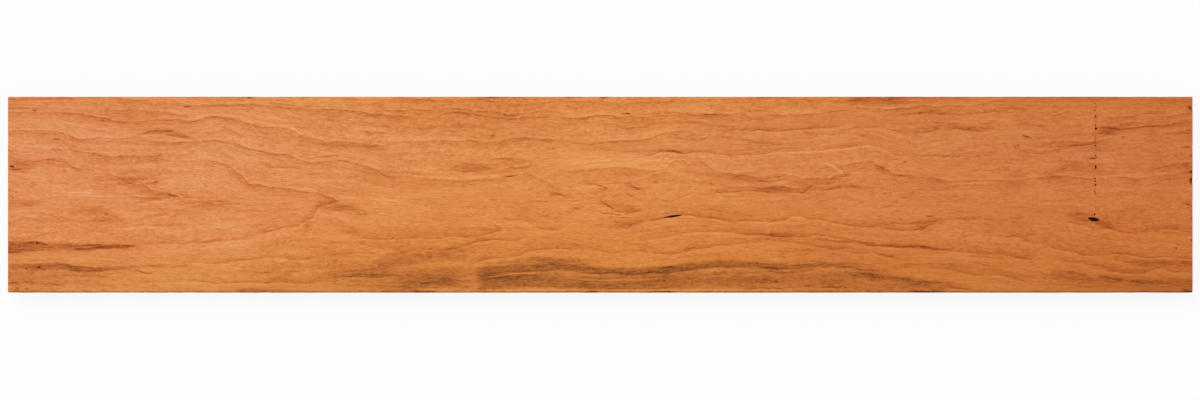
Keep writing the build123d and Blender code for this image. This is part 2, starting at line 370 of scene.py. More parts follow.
     (1137, 179.5, 0.85), (1140, 179.8, 0.4), (1145, 178.5, 0.2), (1150, 177.2, 0.4), (1157, 176.2, 0.5),
     (1170, 175), (1183, 173, 0.45), (1192, 172.3, 0.4)],
    [(705, 188, 0), (715, 190, 0.35), (722, 189, 0.45), (736, 187), (755, 187.5, 0.4), (763, 188.5, 0.55),
     (771, 187, 0.6), (778, 186.5), (785, 187), (790, 188.5, 0.55), (796, 189.5, 0.4), (800, 189, 0)],
    [(1110, 117.2, 0.5), (1123, 117, 0.55), (1130, 116.5), (1140, 114.5, 0.5), (1151, 112),
     (1164, 111.7, 0.45), (1172, 111, 0.2)],
    [(1148, 118.3, 0.3), (1157, 117, 0.5), (1169, 116.5), (1183, 114.5), (1192, 113.8, 0.4)],
    [(1097, 129, 0.4), (1105, 126.7), (1112, 128), (1119, 129, 0.65), (1133, 128), (1143, 126.5),
     (1149, 125.8), (1162, 125.8, 0.6), (1175, 124, 0.55), (1190, 121.5, 0.45)],
    [(1149, 133.5, 0.3), (1157, 135.5, 0.35), (1163, 135, 0.4), (1170, 133.2, 0.55), (1181, 131.8, 0.6),
     (1192, 130.5, 0.65)],
    [(1145, 170, 0.35), (1153, 169.5, 0.45), (1160, 167.5, 0.5), (1175, 164.5), (1189, 163)],
    [(1045, 142.3, 0.35), (1065, 141.7, 0.5), (1085, 142.3, 0.7), (1095, 141.7, 0.75), (1100, 141, 0.65),
     (1105, 140.5, 0.3)],
    [(1023, 150, 0.4), (1028, 149.5, 0.5), (1037, 151.5), (1049, 151), (1056, 150, 0.3)],
    [(1050, 115.5, 0.35), (1060, 114.3), (1068, 111, 0.3), (1078, 109.5, 0)],
]
LATE_WOOD_SHADED_ABOVE = [
    [(718, 133, 0), (720, 132.7, 0.3), (728, 131.5, 0.4), (735, 130, 0.45), (745, 130, 0.6), (755, 130.2),
     (760, 129.5), (772, 131.2), (783, 130.8), (790, 129.8), (800, 129, 0.65), (810, 128.2, 0.8),
     (820, 128, 0.7), (827, 127.5, 0.5), (840, 126, 0.45), (845, 124.8, 0.4), (850, 124.5),
     (854, 125, 0.45), (857, 127, 0.3), (860, 129), (867, 127.5, 0.35), (875, 126.5), (882, 127.5),
     (889, 129, 0.4), (893, 130.2, 0.5), (899, 131.5), (905, 132.3), (915, 133), (925, 132.2),
     (930, 131.5), (935, 130.2), (940, 129.2), (950, 129.8), (955, 128.5, 0.55), (959, 128.2),
     (963, 129.8, 0.45), (970, 130.2, 0.4), (985, 131, 0.25), (1000, 131.5, 0)],
    [(540, 159, 0.1), (560, 158.3, 0.2), (595, 158.5, 0.3), (615, 157.5, 0.4), (638, 157),
     (644, 156.5, 0.45), (650, 155, 0.5), (655, 153.5, 0.65), (659, 151.7, 0.8), (663, 150.8),
     (667, 151.3), (672, 151, 0.75), (676, 152.3, 0.8), (680, 153.5), (687, 153.3, 0.6),
     (695, 151.7, 0.5), (702, 152), (715, 153.3), (722, 154), (730, 155), (734, 156), (738, 155),
     (745, 154.5, 0.55), (758, 154.7), (765, 153.5, 0.3), (772, 151, 0.4), (795, 150.7, 0.45), (821, 150),
     (835, 148.5), (845, 147.5, 0.5), (853, 146.5), (860, 145), (867, 144.7), (873, 145.8, 0.45),
     (879, 147), (885, 149, 0.4), (890, 151.5, 0.35), (895, 154), (905, 156.3, 0.4), (912, 156.5),
     (918, 158.5), (923, 160, 0.2), (930, 161, 0.3), (940, 161, 0.35), (950, 160.5, 0)],
    [(140, 244, 0.2), (145, 243.8, 0.45), (157, 243.5, 0.5), (170, 243.3, 0.55), (176, 242.5),
     (183, 243.8, 0.5), (195, 241.8), (206, 242.5), (218, 241.2), (231, 240, 0.55), (240, 239),
     (245, 237.8), (249, 236), (253, 234.5), (257, 233.3), (262, 232.3, 0.6), (267, 232.2),
     (272, 230.8, 0.7), (276, 229.3, 0.75), (280, 227.8), (284, 226.5, 0.7), (290, 226, 0.65),
     (296, 226.5), (301, 225, 0.65), (303, 222), (306, 220), (310, 218.5, 0.75, 2.2), (313, 217, 0.8),
     (315, 213.5), (316, 209), (317.5, 206.5), (320, 205, 0.65), (325, 204), (330, 203.3),
     (335, 202, 0.65, 1.7), (336.5, 200.9, 0.55), (338, 200.7, 0)],
    [(138, 202.5, 0.3), (145, 201.3, 0.5), (150, 200.6, 0.6), (160, 200), (165, 198.5, 0.45),
     (170, 197.5), (174, 196)],
    [(712, 192.5, 0.35), (720, 192.5, 0.5), (735, 192), (742, 191, 0.3), (751, 190.8, 0.5),
     (760, 191.5, 0.6), (770, 192.5), (780, 192), (795, 192, 0.65), (801, 192.8), (806, 192),
     (808, 190, 0.6), (809.5, 187.5, 0.5), (811, 184.7, 0.4), (817, 184.2, 0.5), (825, 183.8, 0.45),
     (835, 183, 0.2)],
    [(604, 228, 0.24), (612, 228, 0.37), (617, 227, 0.49), (626, 228.3, 0.55), (630, 226, 0.61),
     (634, 223.7), (640, 222.8, 0.55), (645, 221.5, 0.61), (653, 220.6), (661, 219, 0.67),
     (664, 217.8, 0.7), (683, 215, 0.68), (690, 215.5, 0.61), (704, 217, 0.67), (715, 218), (720, 219),
     (725, 220.3), (729, 221.5, 0.68), (733, 222.2), (738, 221.5, 0.61), (750, 220), (757, 220.5, 0.68),
     (773, 221.5), (777, 220.5, 0.61), (785, 219.5), (788, 218.5), (790, 216.4), (795, 215.8), (800, 216),
     (804, 217), (809, 218.8), (817, 219.5), (825, 220.5), (830, 221.8), (840, 223), (847, 224.5, 0.67),
     (853, 225.8), (857, 226.5, 0.61), (873, 227, 0.49), (879, 226.2), (883, 225.2, 0.43), (890, 224),
     (897, 223), (905, 223.5, 0.24), (913, 224, 0.49), (918, 223.3, 0.61), (928, 223, 0.68),
     (932, 221.5, 0.65), (942, 220.5, 0.68), (955, 219), (965, 219.5, 0.67), (977, 218.5, 0.61),
     (984, 218.5, 0.24), (1008, 218.5, 0.1), (1012, 218.5, 0.5), (1021, 218.5)],
    [(885, 229, 0.49), (889, 229, 0.61), (895, 229.5, 0.68), (905, 230.4, 0.65), (919, 229.8), (925, 228),
     (928, 226.8, 0.68), (930, 224.3, 0.7), (936, 224, 0.68), (940, 223.5, 0)],
    [(1070, 222.5, 0.3), (1077, 224, 0.4), (1085, 225.5), (1090, 228), (1096, 228.8, 0.35),
     (1103, 228, 0.3), (1109, 228.5, 0.5), (1114, 229.8, 0.55), (1119, 231.2, 0.6), (1133, 232.7),
     (1147, 231.5), (1153, 230.8), (1160, 229.8), (1165, 228.8, 0.55), (1175, 229.2, 0.45),
     (1185, 231, 0.25), (1192, 231, 0.1)],
    [(640, 240, 0.24), (660, 238, 0.49), (668, 236.7), (675, 235.5, 0.55), (682, 234, 0.61),
     (694, 232, 0.67), (706, 231.5, 0.61), (718, 230.8, 0.55), (730, 232, 0.61), (742, 233.7, 0.67),
     (748, 234.5), (760, 234.2, 0.61), (770, 236), (785, 236.5), (792, 236, 0.43), (805, 236), (815, 235),
     (823, 235.5, 0.49), (830, 236.5), (840, 238), (847, 239, 0.37), (852, 241, 0.24), (868, 245, 0.49),
     (870, 246, 0.61), (877, 245.2), (890, 246), (901, 247.6, 0.61), (910, 246.5, 0.51), (920, 246.5),
     (930, 248, 0.61), (940, 249.5), (951, 250), (963, 251.5, 0.61), (977, 252.5, 0.55),
     (990, 253.7, 0.49), (1003, 254.5, 0.45), (1010, 256, 0.5), (1018, 257.8, 0.7), (1026, 258.5),
     (1032, 260, 0.5), (1038, 259.5, 0.4), (1045, 258.5, 0.25), (1060, 260.5, 0.2), (1070, 262, 0.5),
     (1083, 262.8, 0.6), (1090, 264.5, 0.5), (1097, 265.5), (1105, 267.5), (1111, 268.5, 0.4),
     (1120, 268.5, 0)],
    [(684, 250, 0.37), (692, 248.5, 0.68), (697, 248.3, 0.61), (710, 247), (716, 245, 0.49), (730, 244),
     (748, 243), (760, 242.3, 0.37), (772, 241, 0.3), (780, 241, 0.43), (788, 242.2, 0.49), (801, 243.8),
     (810, 245), (823, 247.5), (835, 249, 0.61), (847, 248.3), (852, 248.5, 0)],
    [(515, 256, 0.37), (520, 255, 0.61), (523, 253), (527, 251.5), (532, 250.3), (540, 249.5),
     (556, 248.7, 0.55), (568, 249), (580, 249.3, 0.43), (600, 250.5, 0.37), (607, 252.5, 0.43),
     (612, 253.3), (620, 252), (636, 251, 0.49), (650, 252), (668, 253.5), (684, 252), (693, 250.5, 0.37),
     (705, 250.5, 0.1)],
    [(780, 251, 0.43), (790, 251.5), (815, 250.7, 0.37), (840, 250.5, 0.49), (850, 252, 0.55), (858, 253),
     (873, 252.5), (878, 254), (885, 255.5, 0.61), (890, 257.2), (900, 259.5, 0.49), (910, 261, 0.1)],
    [(971, 256.5, 0.49), (990, 257.5, 0.55), (1005, 258.5, 0.4), (1012, 259, 0)],
    [(385, 255.5, 0.3), (398, 255.5, 0.45), (402, 253, 0.4), (406, 252), (412, 251, 0.5), (424, 249.8),
     (432, 249.5, 0.4), (445, 249.5, 0.43), (456, 248, 0.49), (462, 246.5), (469, 244.5, 0.7),
     (472, 243, 0.8), (478, 241.5, 0.85), (486, 240.3, 0.8), (494, 239, 0.75), (497, 239.5, 0.61),
     (505, 240.3, 0.43), (512, 241), (518, 240.3), (521, 239, 0.37), (524, 236.5, 0.24)],
    [(342, 233.8, 0.45), (350, 233.3, 0.5), (356, 234.5, 0.4), (360, 238, 0.1), (368, 239, 0.3),
     (380, 238.5, 0.35), (398, 239, 0.45), (404, 238, 0.5), (420, 237.5), (435, 238.5, 0.45), (441, 238),
     (446, 236.5, 0.61), (452, 236, 0.55), (468, 236.5), (476, 236.3), (482, 235), (488, 233.5),
     (494, 232), (499, 230.7), (503, 230, 0.1)],
    [(505, 220, 0.37), (524, 220, 0.43), (527, 222), (530, 223.5, 0.37), (536, 226), (540, 228.5, 0.49),
     (548, 229.5, 0.61), (556, 229.7), (560, 229, 0.49), (566, 228, 0.1)],
    [(185, 263.5, 0.2), (200, 262, 0.4), (208, 263), (214, 263.5), (228, 261.8), (234, 260, 0.45),
     (246, 259.8), (258, 258.2, 0.4), (272, 257.5, 0.45), (279, 257, 0.55), (284, 257.5), (290, 259, 0.5),
     (300, 259.5, 0.35), (308, 258.5), (316, 256.8, 0.4), (322, 256), (338, 254, 0.3), (346, 253, 0.2),
     (360, 252.5, 0.1)],
    [(470, 264, 0.35), (478, 261.5, 0.49), (490, 258.7), (503, 257, 0.43), (512, 257, 0.24)],
    [(145, 282.5, 0.5), (152, 281.5), (157, 281.5, 0.4), (168, 282.3), (176, 281.3), (186, 280.5, 0.3),
     (202, 281.5, 0.5), (210, 282.5, 0.55), (216, 283.5, 0.5), (232, 282.5, 0.4), (248, 282.3, 0.5),
     (262, 282.5), (267, 283.2, 0.7), (275, 282, 0.5), (285, 281.5), (294, 283, 0.65), (305, 283, 0.5),
     (312, 282, 0.45), (318, 280.5), (326, 278.8, 0.5), (338, 277, 0.55), (346, 276.3, 0.65),
     (364, 276.8), (382, 276.7, 0.6), (388, 276, 0.4), (396, 275, 0)],
    [(474, 277, 0.1), (478, 276.5, 0.2), (488, 275, 0.22), (500, 274.5), (510, 273), (520, 272, 0.28),
     (532, 271.5), (541, 272, 0.4), (552, 270.3, 0.42), (568, 270.3), (576, 271), (582, 272, 0.5),
     (590, 273), (600, 274), (608, 272.7), (614, 272.6, 0.53), (626, 274, 0.56), (638, 273.7),
     (650, 272.7, 0.53), (662, 272.8), (674, 271.7, 0.5), (686, 270), (698, 268), (710, 267, 0.53),
     (724, 266.3, 0.5), (740, 266.8), (755, 267, 0.46), (765, 267.5), (775, 268.5, 0.46), (785, 268.5),
     (795, 267.7, 0.46), (807, 267.5, 0.5), (813, 266.5), (825, 265.8), (830, 265.3, 0.43), (835, 266.5),
     (845, 266.5), (855, 268), (860, 269.5, 0.4), (876, 270, 0.31), (886, 270, 0.12)],
    [(765, 272, 0.5), (770, 271.5, 0.75), (780, 272.8, 0.7), (787, 273), (792, 272.5, 0.65),
     (795, 271.5, 0.7), (801, 271.8), (806, 271.2), (810, 270.2, 0.4)],
    [(895, 269, 0.3), (905, 267.5, 0.4), (913, 268.5, 0.35), (925, 269, 0.15), (938, 269, 0.45),
     (949, 269.2, 0.6), (954, 270.2), (959, 271.5, 0.65), (964, 273), (969, 274), (975, 275),
     (989, 275.2, 0.6), (995, 274.3), (1000, 274.8), (1010, 277.2), (1020, 280, 0.65), (1026, 282.8, 0.6),
     (1029, 284, 0.5), (1036, 285.5, 0.3), (1055, 284.7), (1065, 285), (1090, 287, 0.15)],
    [(860, 274, 0.22), (870, 275.5, 0.28), (885, 276.5, 0.33), (897, 277.7, 0.36), (905, 279.5, 0.33),
     (915, 281, 0.22)],
    [(936, 290, 0.3), (945, 288.2, 0.6), (951, 287.8), (963, 288.5), (975, 290.5, 0.5),
     (981, 291.2, 0.4)],
    [(1008, 237, 0.4), (1013, 236, 0.5), (1021, 237, 0.55), (1024, 239), (1027, 241.5), (1031, 243),
     (1043, 243.3, 0.5), (1047, 244), (1050, 246.5), (1053, 248.5, 0.55), (1060, 249.5, 0.6),
     (1073, 251.5), (1078, 253.2), (1083, 254.5), (1097, 255.5, 0.55), (1110, 254.2), (1123, 253.5),
     (1130, 254.5), (1142, 256.8, 0.6), (1154, 257.5), (1160, 256.5), (1173, 257.2), (1180, 258.2),
     (1192, 258.5)],
    [(1113, 259.5, 0.4), (1125, 261.5), (1136, 262.8), (1140, 261.5, 0.25)],
    [(1092, 268.5, 0.3), (1100, 269, 0.5), (1105, 270.5, 0.65), (1117, 271.5), (1128, 273), (1140, 273.5),
     (1145, 272), (1150, 270), (1154, 268.5), (1160, 267.8, 0.6), (1166, 269.2, 0.65), (1175, 271.8, 0.6),
     (1192, 272.2, 0.65)],
]

# Stains in the same wood, drawn in the same way but with no hard side: brown mineral streaks and gum lines,
# and pale streaks where the darkness is below zero. The long streaks on the arrises, at rows 97.4 and
# 291.6, are painted shade.
STREAKS = [
    [(26, 243.8, 0, 1.65), (33, 243, 0.54), (39, 243.2, 0.49), (46, 244.2, 0.26), (56, 245, 0.18),
     (68, 245, 0.41), (74, 245.6, 0.1)],
    [(70, 248.8, 0, 1.65), (76, 249.2, 0.5), (84, 249), (91, 248.6, 0.34), (99, 247.4, 0.47),
     (108, 246.8, 0.5), (118, 246.6), (126, 246, 0.54), (133, 245.7, 0.42), (137, 245.6, 0)],
    [(8, 252.5, 0.4, 1.2), (16, 252), (24, 250, 0.2), (34, 250.5, 0.3), (52, 249.5, 0.2), (60, 248, 0)],
    [(44, 247, 0.3, 1.0), (56, 247.8, 0.35), (70, 247, 0.2), (88, 245.2, 0.35), (98, 244.6, 0.3),
     (108, 244.4, 0)],
    [(130, 137, 0, 1.69), (135, 136, 0.31), (140, 135, 0.34), (144, 134, 0.37), (147, 132.2, 0.4),
     (152, 131, 0.56), (160, 130.6, 0.59), (165, 131), (170, 131, 0.53), (174, 132, 0.43),
     (178, 133.3, 0.31), (188, 132.8, 0.28), (191, 132.5, 0.46), (195, 132.5, 0.43), (198, 133, 0.25),
     (206, 133.5, 0.22), (215, 132.8), (225, 134, 0.12), (232, 133, 0.15), (240, 134.5),
     (246, 136.5, 0.09), (252, 138, 0)],
    [(168, 135, 0.34, 1.5), (178, 135.5, 0.37), (184, 136.5, 0.34), (190, 137.5, 0.25),
     (196, 139.2, 0.12)],
    [(310, 115, 0, 2.6), (320, 119, 0.17), (330, 119.7), (338, 121.5, 0.08), (345, 124, 0.17),
     (366, 125, 0.19), (384, 126.3), (392, 128.2, 0.22), (412, 128.5, 0.19), (436, 127.5), (450, 126),
     (472, 125.5), (478, 127, 0.28), (484, 128.5), (490, 129.5), (501, 129.3, 0.25), (506, 130, 0.11),
     (512, 126, 0.06), (520, 124, 0.17), (535, 123), (546, 124), (555, 125, 0.11), (580, 126, 0.03),
     (610, 125, 0.14), (618, 125.5, 0.22), (624, 127.5, 0.25), (634, 128, 0.22), (640, 126.5, 0.19),
     (650, 124.5, 0.22), (658, 123), (666, 122), (678, 121.3, 0.25), (690, 121.8, 0.28),
     (700, 123.5, 0.3), (710, 125), (722, 126.3, 0.22), (733, 127, 0.19), (738, 127.5, 0)],
    [(362, 131.5, 0.35, 1.5), (374, 133.3, 0.4), (382, 133.5), (390, 132.5, 0.3), (398, 132, 0)],
    [(670, 137, 0.35, 1.5), (684, 139), (697, 140.3), (702, 139.3), (712, 137), (730, 137.5, 0.3),
     (748, 140, 0.35), (755, 142), (770, 143, 0.3), (785, 143, 0.15)],
    [(805, 132.5, 0.3, 1.4), (819, 133.3), (830, 134.2, 0.4), (841, 133), (845, 131, 0.35),
     (848, 130, 0)],
    [(340, 285.5, 0.18, 1.8), (356, 285, 0.23), (375, 285.3), (385, 286.5, 0.25), (392, 285.3, 0.27),
     (400, 283.8, 0.29), (408, 282.5), (414, 281.5, 0.27), (420, 280.5, 0.25), (428, 279.5, 0.27),
     (436, 278.8, 0.29), (445, 279, 0.27), (455, 279.5, 0.25), (465, 280, 0.14), (474, 280.5, 0.05)],
    [(418, 286.5, 0.18, 1.6), (424, 283.8, 0.32), (430, 283, 0.36), (436, 283.3), (448, 285, 0.34),
     (460, 285.5, 0.27), (470, 285.3, 0.2), (476, 285.5, 0.05)],
    [(660, 268.5, 0.6, 1.2), (668, 267), (674, 267)],
    [(606, 288.8, 0.4, 1.2), (640, 288.5), (680, 287.5, 0.35)],
    [(745, 288.8, 0.6, 1.2), (783, 288.8), (787, 288, 0.3), (800, 286.8, 0.45), (840, 287, 0.5),
     (853, 288.5), (860, 289, 0.35)],
    [(815, 239, 0.3, 1.6), (830, 240.8, 0.4), (850, 242), (868, 243), (875, 243, 0.3)],
    [(820, 190, 0.3, 1.4), (840, 187.5, 0.35), (848, 186.5), (860, 186.5, 0.2)],
    [(1103, 131.5, 0.25, 1.8), (1110, 133.5, 0.28), (1114, 132.8, 0.25), (1117, 131, 0.2)],
    [(1050, 147, 0.25, 1.3), (1070, 145.5, 0.5), (1080, 145.2, 0.55), (1087, 144.5), (1093, 143, 0.5)],
    [(1065, 265.5, 0.4, 1.4), (1077, 268, 0.35)],
    [(1068, 271.5, 0.4, 1.4), (1087, 274.5)],
    [(1102, 276.5, 0.4, 1.4), (1113, 279, 0.5), (1121, 279.5, 0.45)],
    [(1131, 281, 0.45, 1.4), (1145, 283), (1152, 282.5, 0.3)],
    [(978, 263, 0.45, 1.3), (984, 265), (990, 266)],
    [(1039, 271, 0.4, 1.3), (1043, 273), (1046, 274.5)],
    [(900, 114, 0.3, 2.2), (914, 113.3, 0.35), (932, 112.5, 0.4), (955, 114.5, 0.3), (985, 111.8, 0.35),
     (998, 110.3, 0.4), (1005, 108.5, 0.3), (1018, 108.5, 0.2)],
    [(590, 184, 0.4, 1.4), (598, 185, 0.5), (605, 187.5)],
    [(597, 188, 0.4, 1.3), (606, 190, 0.45)],
    [(626, 183, 0.3, 1.4), (632, 186, 0.5), (638, 189), (641, 190.5, 0.4)],
    [(704, 181, 0.3, 1.4), (710, 182, 0.5), (712, 184.5)],
    [(600, 203, 0.35, 1.4), (606, 204.7, 0.45), (610, 207), (614, 210), (620, 211.5), (636, 210.5, 0.4),
     (640, 210, 0.2)],
    [(216, 228.8, 0.6, 1.2), (220, 229.5), (224, 230.5)],
    [(358, 213.5, 0.6, 1.2), (362, 215), (366, 213.3)],
    [(8, 98.5, 0.35, 1.6), (70, 98.5)],
    # Painted shade along the upper arris
    [(850, 97.4, 0.3, 1.2), (900, 97.4), (950, 97.4), (1050, 97.4, 0.25), (1160, 97.4, 0.2)],
    [(186, 97.0, 0.3, 0.9), (252, 97.0, 0.4)],
    [(476, 97.2, 0.5, 1.2), (492, 97.4, 0.9), (510, 97.4), (520, 97.2, 0.5)],
    [(12, 283.3, 0.55, 1.2), (20, 282.5), (28, 282), (33, 283)],
    [(46, 284, 0.6, 1.2), (52, 283.5), (56, 285.5), (62, 284.5)],
    [(137, 270.6, 0.85, 1.1), (143, 272.5), (147, 273.3), (150, 273)],
    # Painted shade along the lower arris, the whole length
    [(8, 291.6, 0.45, 1.2), (300, 291.6), (600, 291.6, 0.55), (900, 291.6), (1192, 291.6, 0.5)],
    [(840, 167.5, 0.2, 1.6), (842, 168.5, 0.5), (844.5, 173), (846, 174.5, 0.3)],
    [(925, 155.3, 0.4, 1.3), (932, 155.5), (945, 156, 0.2)],
    [(975, 156, 0.3, 1.3), (982, 155), (992, 152.5), (997, 152, 0.2)],
    [(970, 170.5, 0.35, 1.3), (988, 170.6), (1020, 170.5, 0.2)],
    [(1010, 176.5, 0.35, 1.3), (1023, 176.5)],
    [(1057, 161.5, 0.45, 1.3), (1066, 161.2), (1073, 161.7), (1082, 162.5, 0.2)],
    [(1028, 156.3, 0.4, 1.2), (1037, 156.4)],
    [(268, 167.5, 0.3, 1.3), (300, 167.5)],
    [(318, 156, 0.3, 1.3), (338, 156)],
    [(398, 172.5, 0.35, 1.2), (410, 172.5), (414, 173.5), (430, 173.5)],
    [(618, 174.5, 0.35, 1.3), (634, 174.5)],
    [(528, 201.5, 0.35, 1.3), (545, 201.5)],
    [(605, 213.5, 0.35, 1.2), (610, 213.6), (618, 214.3, 0.45), (620, 216.5, 0.3), (626, 217.3, 0.5)],
    [(75, 280.5, 0.3, 1.3), (95, 280.5)],
    [(260, 272.8, 0.3, 1.3), (275, 272.7), (290, 271.7, 0.4), (300, 271.5)],
    [(492, 223, 0.3, 1.3), (496, 226, 0.5), (499, 229)],
    [(666, 150.5, 0.13, 1.5), (672, 150.8, 0.39), (680, 152.3, 0.42), (686, 153.4, 0.23),
     (690, 153.6, 0)],
    [(652, 166, -0.28, 0.8), (658, 160, -0.35), (663, 155.5), (667, 153, -0.2)],
    [(659, 168, -0.28, 0.8), (664, 161, -0.4), (669, 156.5), (673, 154.5, -0.2)],
    [(655, 167.5, 0.2, 0.8), (661, 160.5, 0.35), (666, 155.5), (670, 153.5, 0.1)],
    [(662, 168.5, 0.2, 0.8), (667, 161, 0.35), (671, 157), (675, 155.5, 0.1)],
    [(636, 179, -0.21, 0.9), (645, 176.5, -0.42), (655, 173), (666, 170.3), (668, 169.5, 0)],
    [(582, 163, -0.28, 0.9), (592, 161.5, -0.49), (605, 160.5, -0.42), (612, 160, 0)],
    [(583, 165, 0.2, 0.8), (592, 163.4, 0.3), (602, 162.2), (608, 162, 0)],
    [(583, 166.4, -0.14, 0.8), (595, 164.7, -0.42), (606, 163.3, -0.28)],
    [(635, 166.5, 0.15, 0.8), (645, 165.8, 0.3), (656, 164.3, 0.35), (658, 164, 0)],
    [(584, 187, -0.28, 1), (592, 186.3, -0.56), (599, 187.5), (604.5, 189.8, -0.42), (606, 190.5, 0)],
    [(588, 193, 0.15, 1.2), (594, 193.2, 0.4), (600, 192, 0.45), (606, 189), (610, 187, 0.2)],
    [(576, 188, -0.21, 0.9), (582, 190.5, -0.49), (588, 193, -0.42), (592, 195.5, -0.28)],
    [(607, 183.5, 0, 1.5), (613, 182.8, 0.35), (618, 182.5, 0.3), (622, 183, 0)],
    [(622, 184.5, 0, 1.4), (628, 186.3, 0.35), (633, 188, 0.5), (638, 189, 0.45), (641, 188.8, 0.1)],
    [(625, 193, 0, 1.2), (629, 194.3, 0.35), (633, 195.8), (636, 197, 0)],
    [(600, 200.5, 0.1, 1), (605, 203, 0.4), (609, 205.5, 0.5), (612, 208, 0.4), (616, 210.5, 0.25)],
    [(613, 210.5, 0.3, 1), (620, 212, 0.35), (630, 212.5), (637, 211, 0.4), (640, 210, 0.1)],
    [(618, 209.5, 0.3, 0.9), (626, 208.7), (634, 209, 0.35), (640, 210, 0.1)],
    [(604, 213.3, 0.3, 0.9), (612, 214, 0.45), (618, 214.8, 0.2)],
    [(612, 216, 0.2, 0.9), (619, 217, 0.55), (626, 217.8, 0.5), (630, 217.5, 0)],
    [(606, 215, -0.28, 0.9), (616, 216, -0.56), (628, 216.5, -0.42), (634, 216, 0)],
    [(556, 193.5, 0.3, 1.1), (562, 195.6, 0.45), (568, 196.5, 0.5), (572, 197.3, 0.1)],
    [(573, 201.5, 0.1, 1), (578, 200.5, 0.35), (582, 200, 0.4), (585, 200.5, 0.1)],
    [(577, 199, -0.28, 0.9), (582, 199, -0.49), (587, 200.8, -0.28)],
    [(564, 203.5, 0.1, 1), (569, 204.3, 0.3), (573, 206.5, 0.4), (576, 208.5, 0.5, 1.6), (578, 209, 0.1)],
    [(674, 197.6, 0.2, 1.1), (681, 197, 0.45), (687, 195.2, 0.4), (695, 194.5, 0.25), (706, 193.8, 0.3),
     (712, 193, 0.1)],
    [(706, 164, -0.21, 0.9), (711, 167.5, -0.56), (716, 170, -0.42), (726, 171.8, -0.42),
     (738, 172, -0.14)],
    [(700, 156.5, -0.2, 0.9), (707, 160, -0.4), (712, 163.5), (718, 167, -0.49), (726, 169, 0)],
    [(703, 156, -0.15, 0.9), (715, 158, -0.3), (725, 159), (733, 161, -0.35), (737, 164, -0.42)],
    [(735, 155.7, -0.2, 0.9), (745, 155.6, -0.47), (760, 155), (775, 153.6, -0.47), (790, 152.6),
     (805, 152, -0.45), (820, 151.5), (835, 150, -0.47), (845, 149, -0.47), (853, 148.3),
     (857, 149.5, -0.3), (859, 152, 0)],
    [(754, 178, 0, 1.2), (760, 178.5, 0.35, 1.6), (770, 178, 0.45, 2), (780, 177, 0.4, 1.8),
     (788, 177.5, 0.1)],
    [(771, 182.5, 0, 1), (776, 182, -0.49, 1.6), (783, 182, -0.56), (789, 181.5, -0.35), (792, 180.8, 0)],
    [(819, 166, -0.14, 0.9), (824, 163.5, -0.42), (830, 165, -0.49), (838, 170.5), (844, 174, -0.42)],
    [(828, 164, -0.28, 0.9), (834, 167, -0.56), (842, 172), (845, 174, 0)],
    [(718, 191, 0.3, 1), (722, 194.5), (728, 197, 0.35), (736, 196.8), (744, 195, 0.2), (748, 193.5, 0)],
    [(719, 194, -0.28, 1.2), (726, 193.8, -0.49), (733, 194, -0.35), (737, 194.5, 0)],
    [(790, 217, 0, 0.9), (794, 217.2, -0.63), (802, 217), (805, 217.5, 0)],
    [(452, 168, 0.2, 1), (460, 165, 0.35), (472, 164.5), (485, 166.5), (490, 168, 0.2)],
    [(452, 168.6, 0.2, 1), (458, 170.8, 0.4), (470, 171.4), (485, 170.3), (490, 168.6, 0.2)],
    [(480, 277.6, -0.28, 0.9), (500, 275.6, -0.56), (520, 273.2, -0.56), (545, 273, -0.28),
     (560, 272, 0)],
    [(488, 290.2, -0.42, 1.3), (520, 290, -0.65), (560, 289.6, -0.56), (600, 290.2, -0.42),
     (660, 290, -0.49), (720, 289.8, -0.56), (780, 290, -0.56), (800, 290.4, 0)],
    [(700, 276.5, -0.28, 1), (730, 275.2, -0.49), (756, 274.8, -0.28), (770, 275, 0)],
    [(560, 277.6, 0, 1.6), (580, 279, -0.49), (610, 280.2, -0.49), (640, 279.6, -0.35), (660, 279, 0)],
    [(93, 178, 0, 1.4), (98, 179.5, 0.3), (103, 181, 0.35), (106, 181.3, 0.1)],
    [(118, 176, 0.1, 1), (123, 173.3, 0.3), (132, 172, 0.35), (142, 171.8, 0.3), (151, 173.2, 0.25),
     (157, 176, 0.1)],
    [(146, 184.6, 0.2, 1), (151, 183.6, 0.35), (155, 182.3, 0.4), (157, 181, 0.1)],
    [(166, 194.5, 0, 1.6), (171, 194.5, 0.35), (174, 195.5, 0.3), (178, 196, 0)],
    [(174, 192, 0.1, 0.9), (181, 194, 0.25), (187, 196)],
    [(176, 200, 0.1, 0.9), (182, 198.3, 0.25), (187, 196.6)],
    [(130, 196.3, 0.2, 0.9), (140, 197.5, 0.3), (152, 198.7, 0.2), (160, 198.5, 0)],
    [(132, 195.2, -0.35, 0.9), (142, 196.3, -0.49), (150, 197.5, -0.28)],
    [(62, 193, -0.28, 0.9), (75, 192.7, -0.56), (90, 192.6, -0.49), (98, 192.8, 0)],
    [(66, 195.6, -0.21, 0.9), (80, 195.8, -0.49), (95, 196, -0.35), (112, 196.3, -0.28), (118, 196.4, 0)],
    [(82, 190.6, -0.14, 0.9), (90, 190.3, -0.42), (97, 190.5, 0)],
    [(184, 206, -0.21, 0.9), (195, 204.3, -0.49), (202, 203.5, -0.42), (206, 203.5, 0)],
    [(214, 202.5, -0.28, 0.9), (222, 202.7, -0.56), (230, 202.5, -0.42), (236, 202.5, 0)],
    [(206, 201, 0.1, 0.9), (214, 200.8, 0.3), (224, 201.3), (231, 201.2, 0.1)],
    [(131, 210.5, 0.25, 1.1), (136, 209.5, 0.4), (142, 209.2, 0.45), (148, 209.5, 0.2),
     (153, 208.8, 0.1)],
    [(155, 206.5, 0.2, 1.1), (160, 209, 0.3), (164, 212.2, 0.4), (165, 213, 0.2)],
    [(135, 222.5, 0.3, 1.1), (138, 220, 0.35), (143, 218.8, 0.3), (150, 218.5, 0.15)],
    [(168, 213, -0.28, 1), (171, 215.5, -0.49), (173, 218, -0.42)],
    [(172, 211.5, -0.28, 0.9), (174.5, 214, -0.56), (176, 216.5, -0.42)],
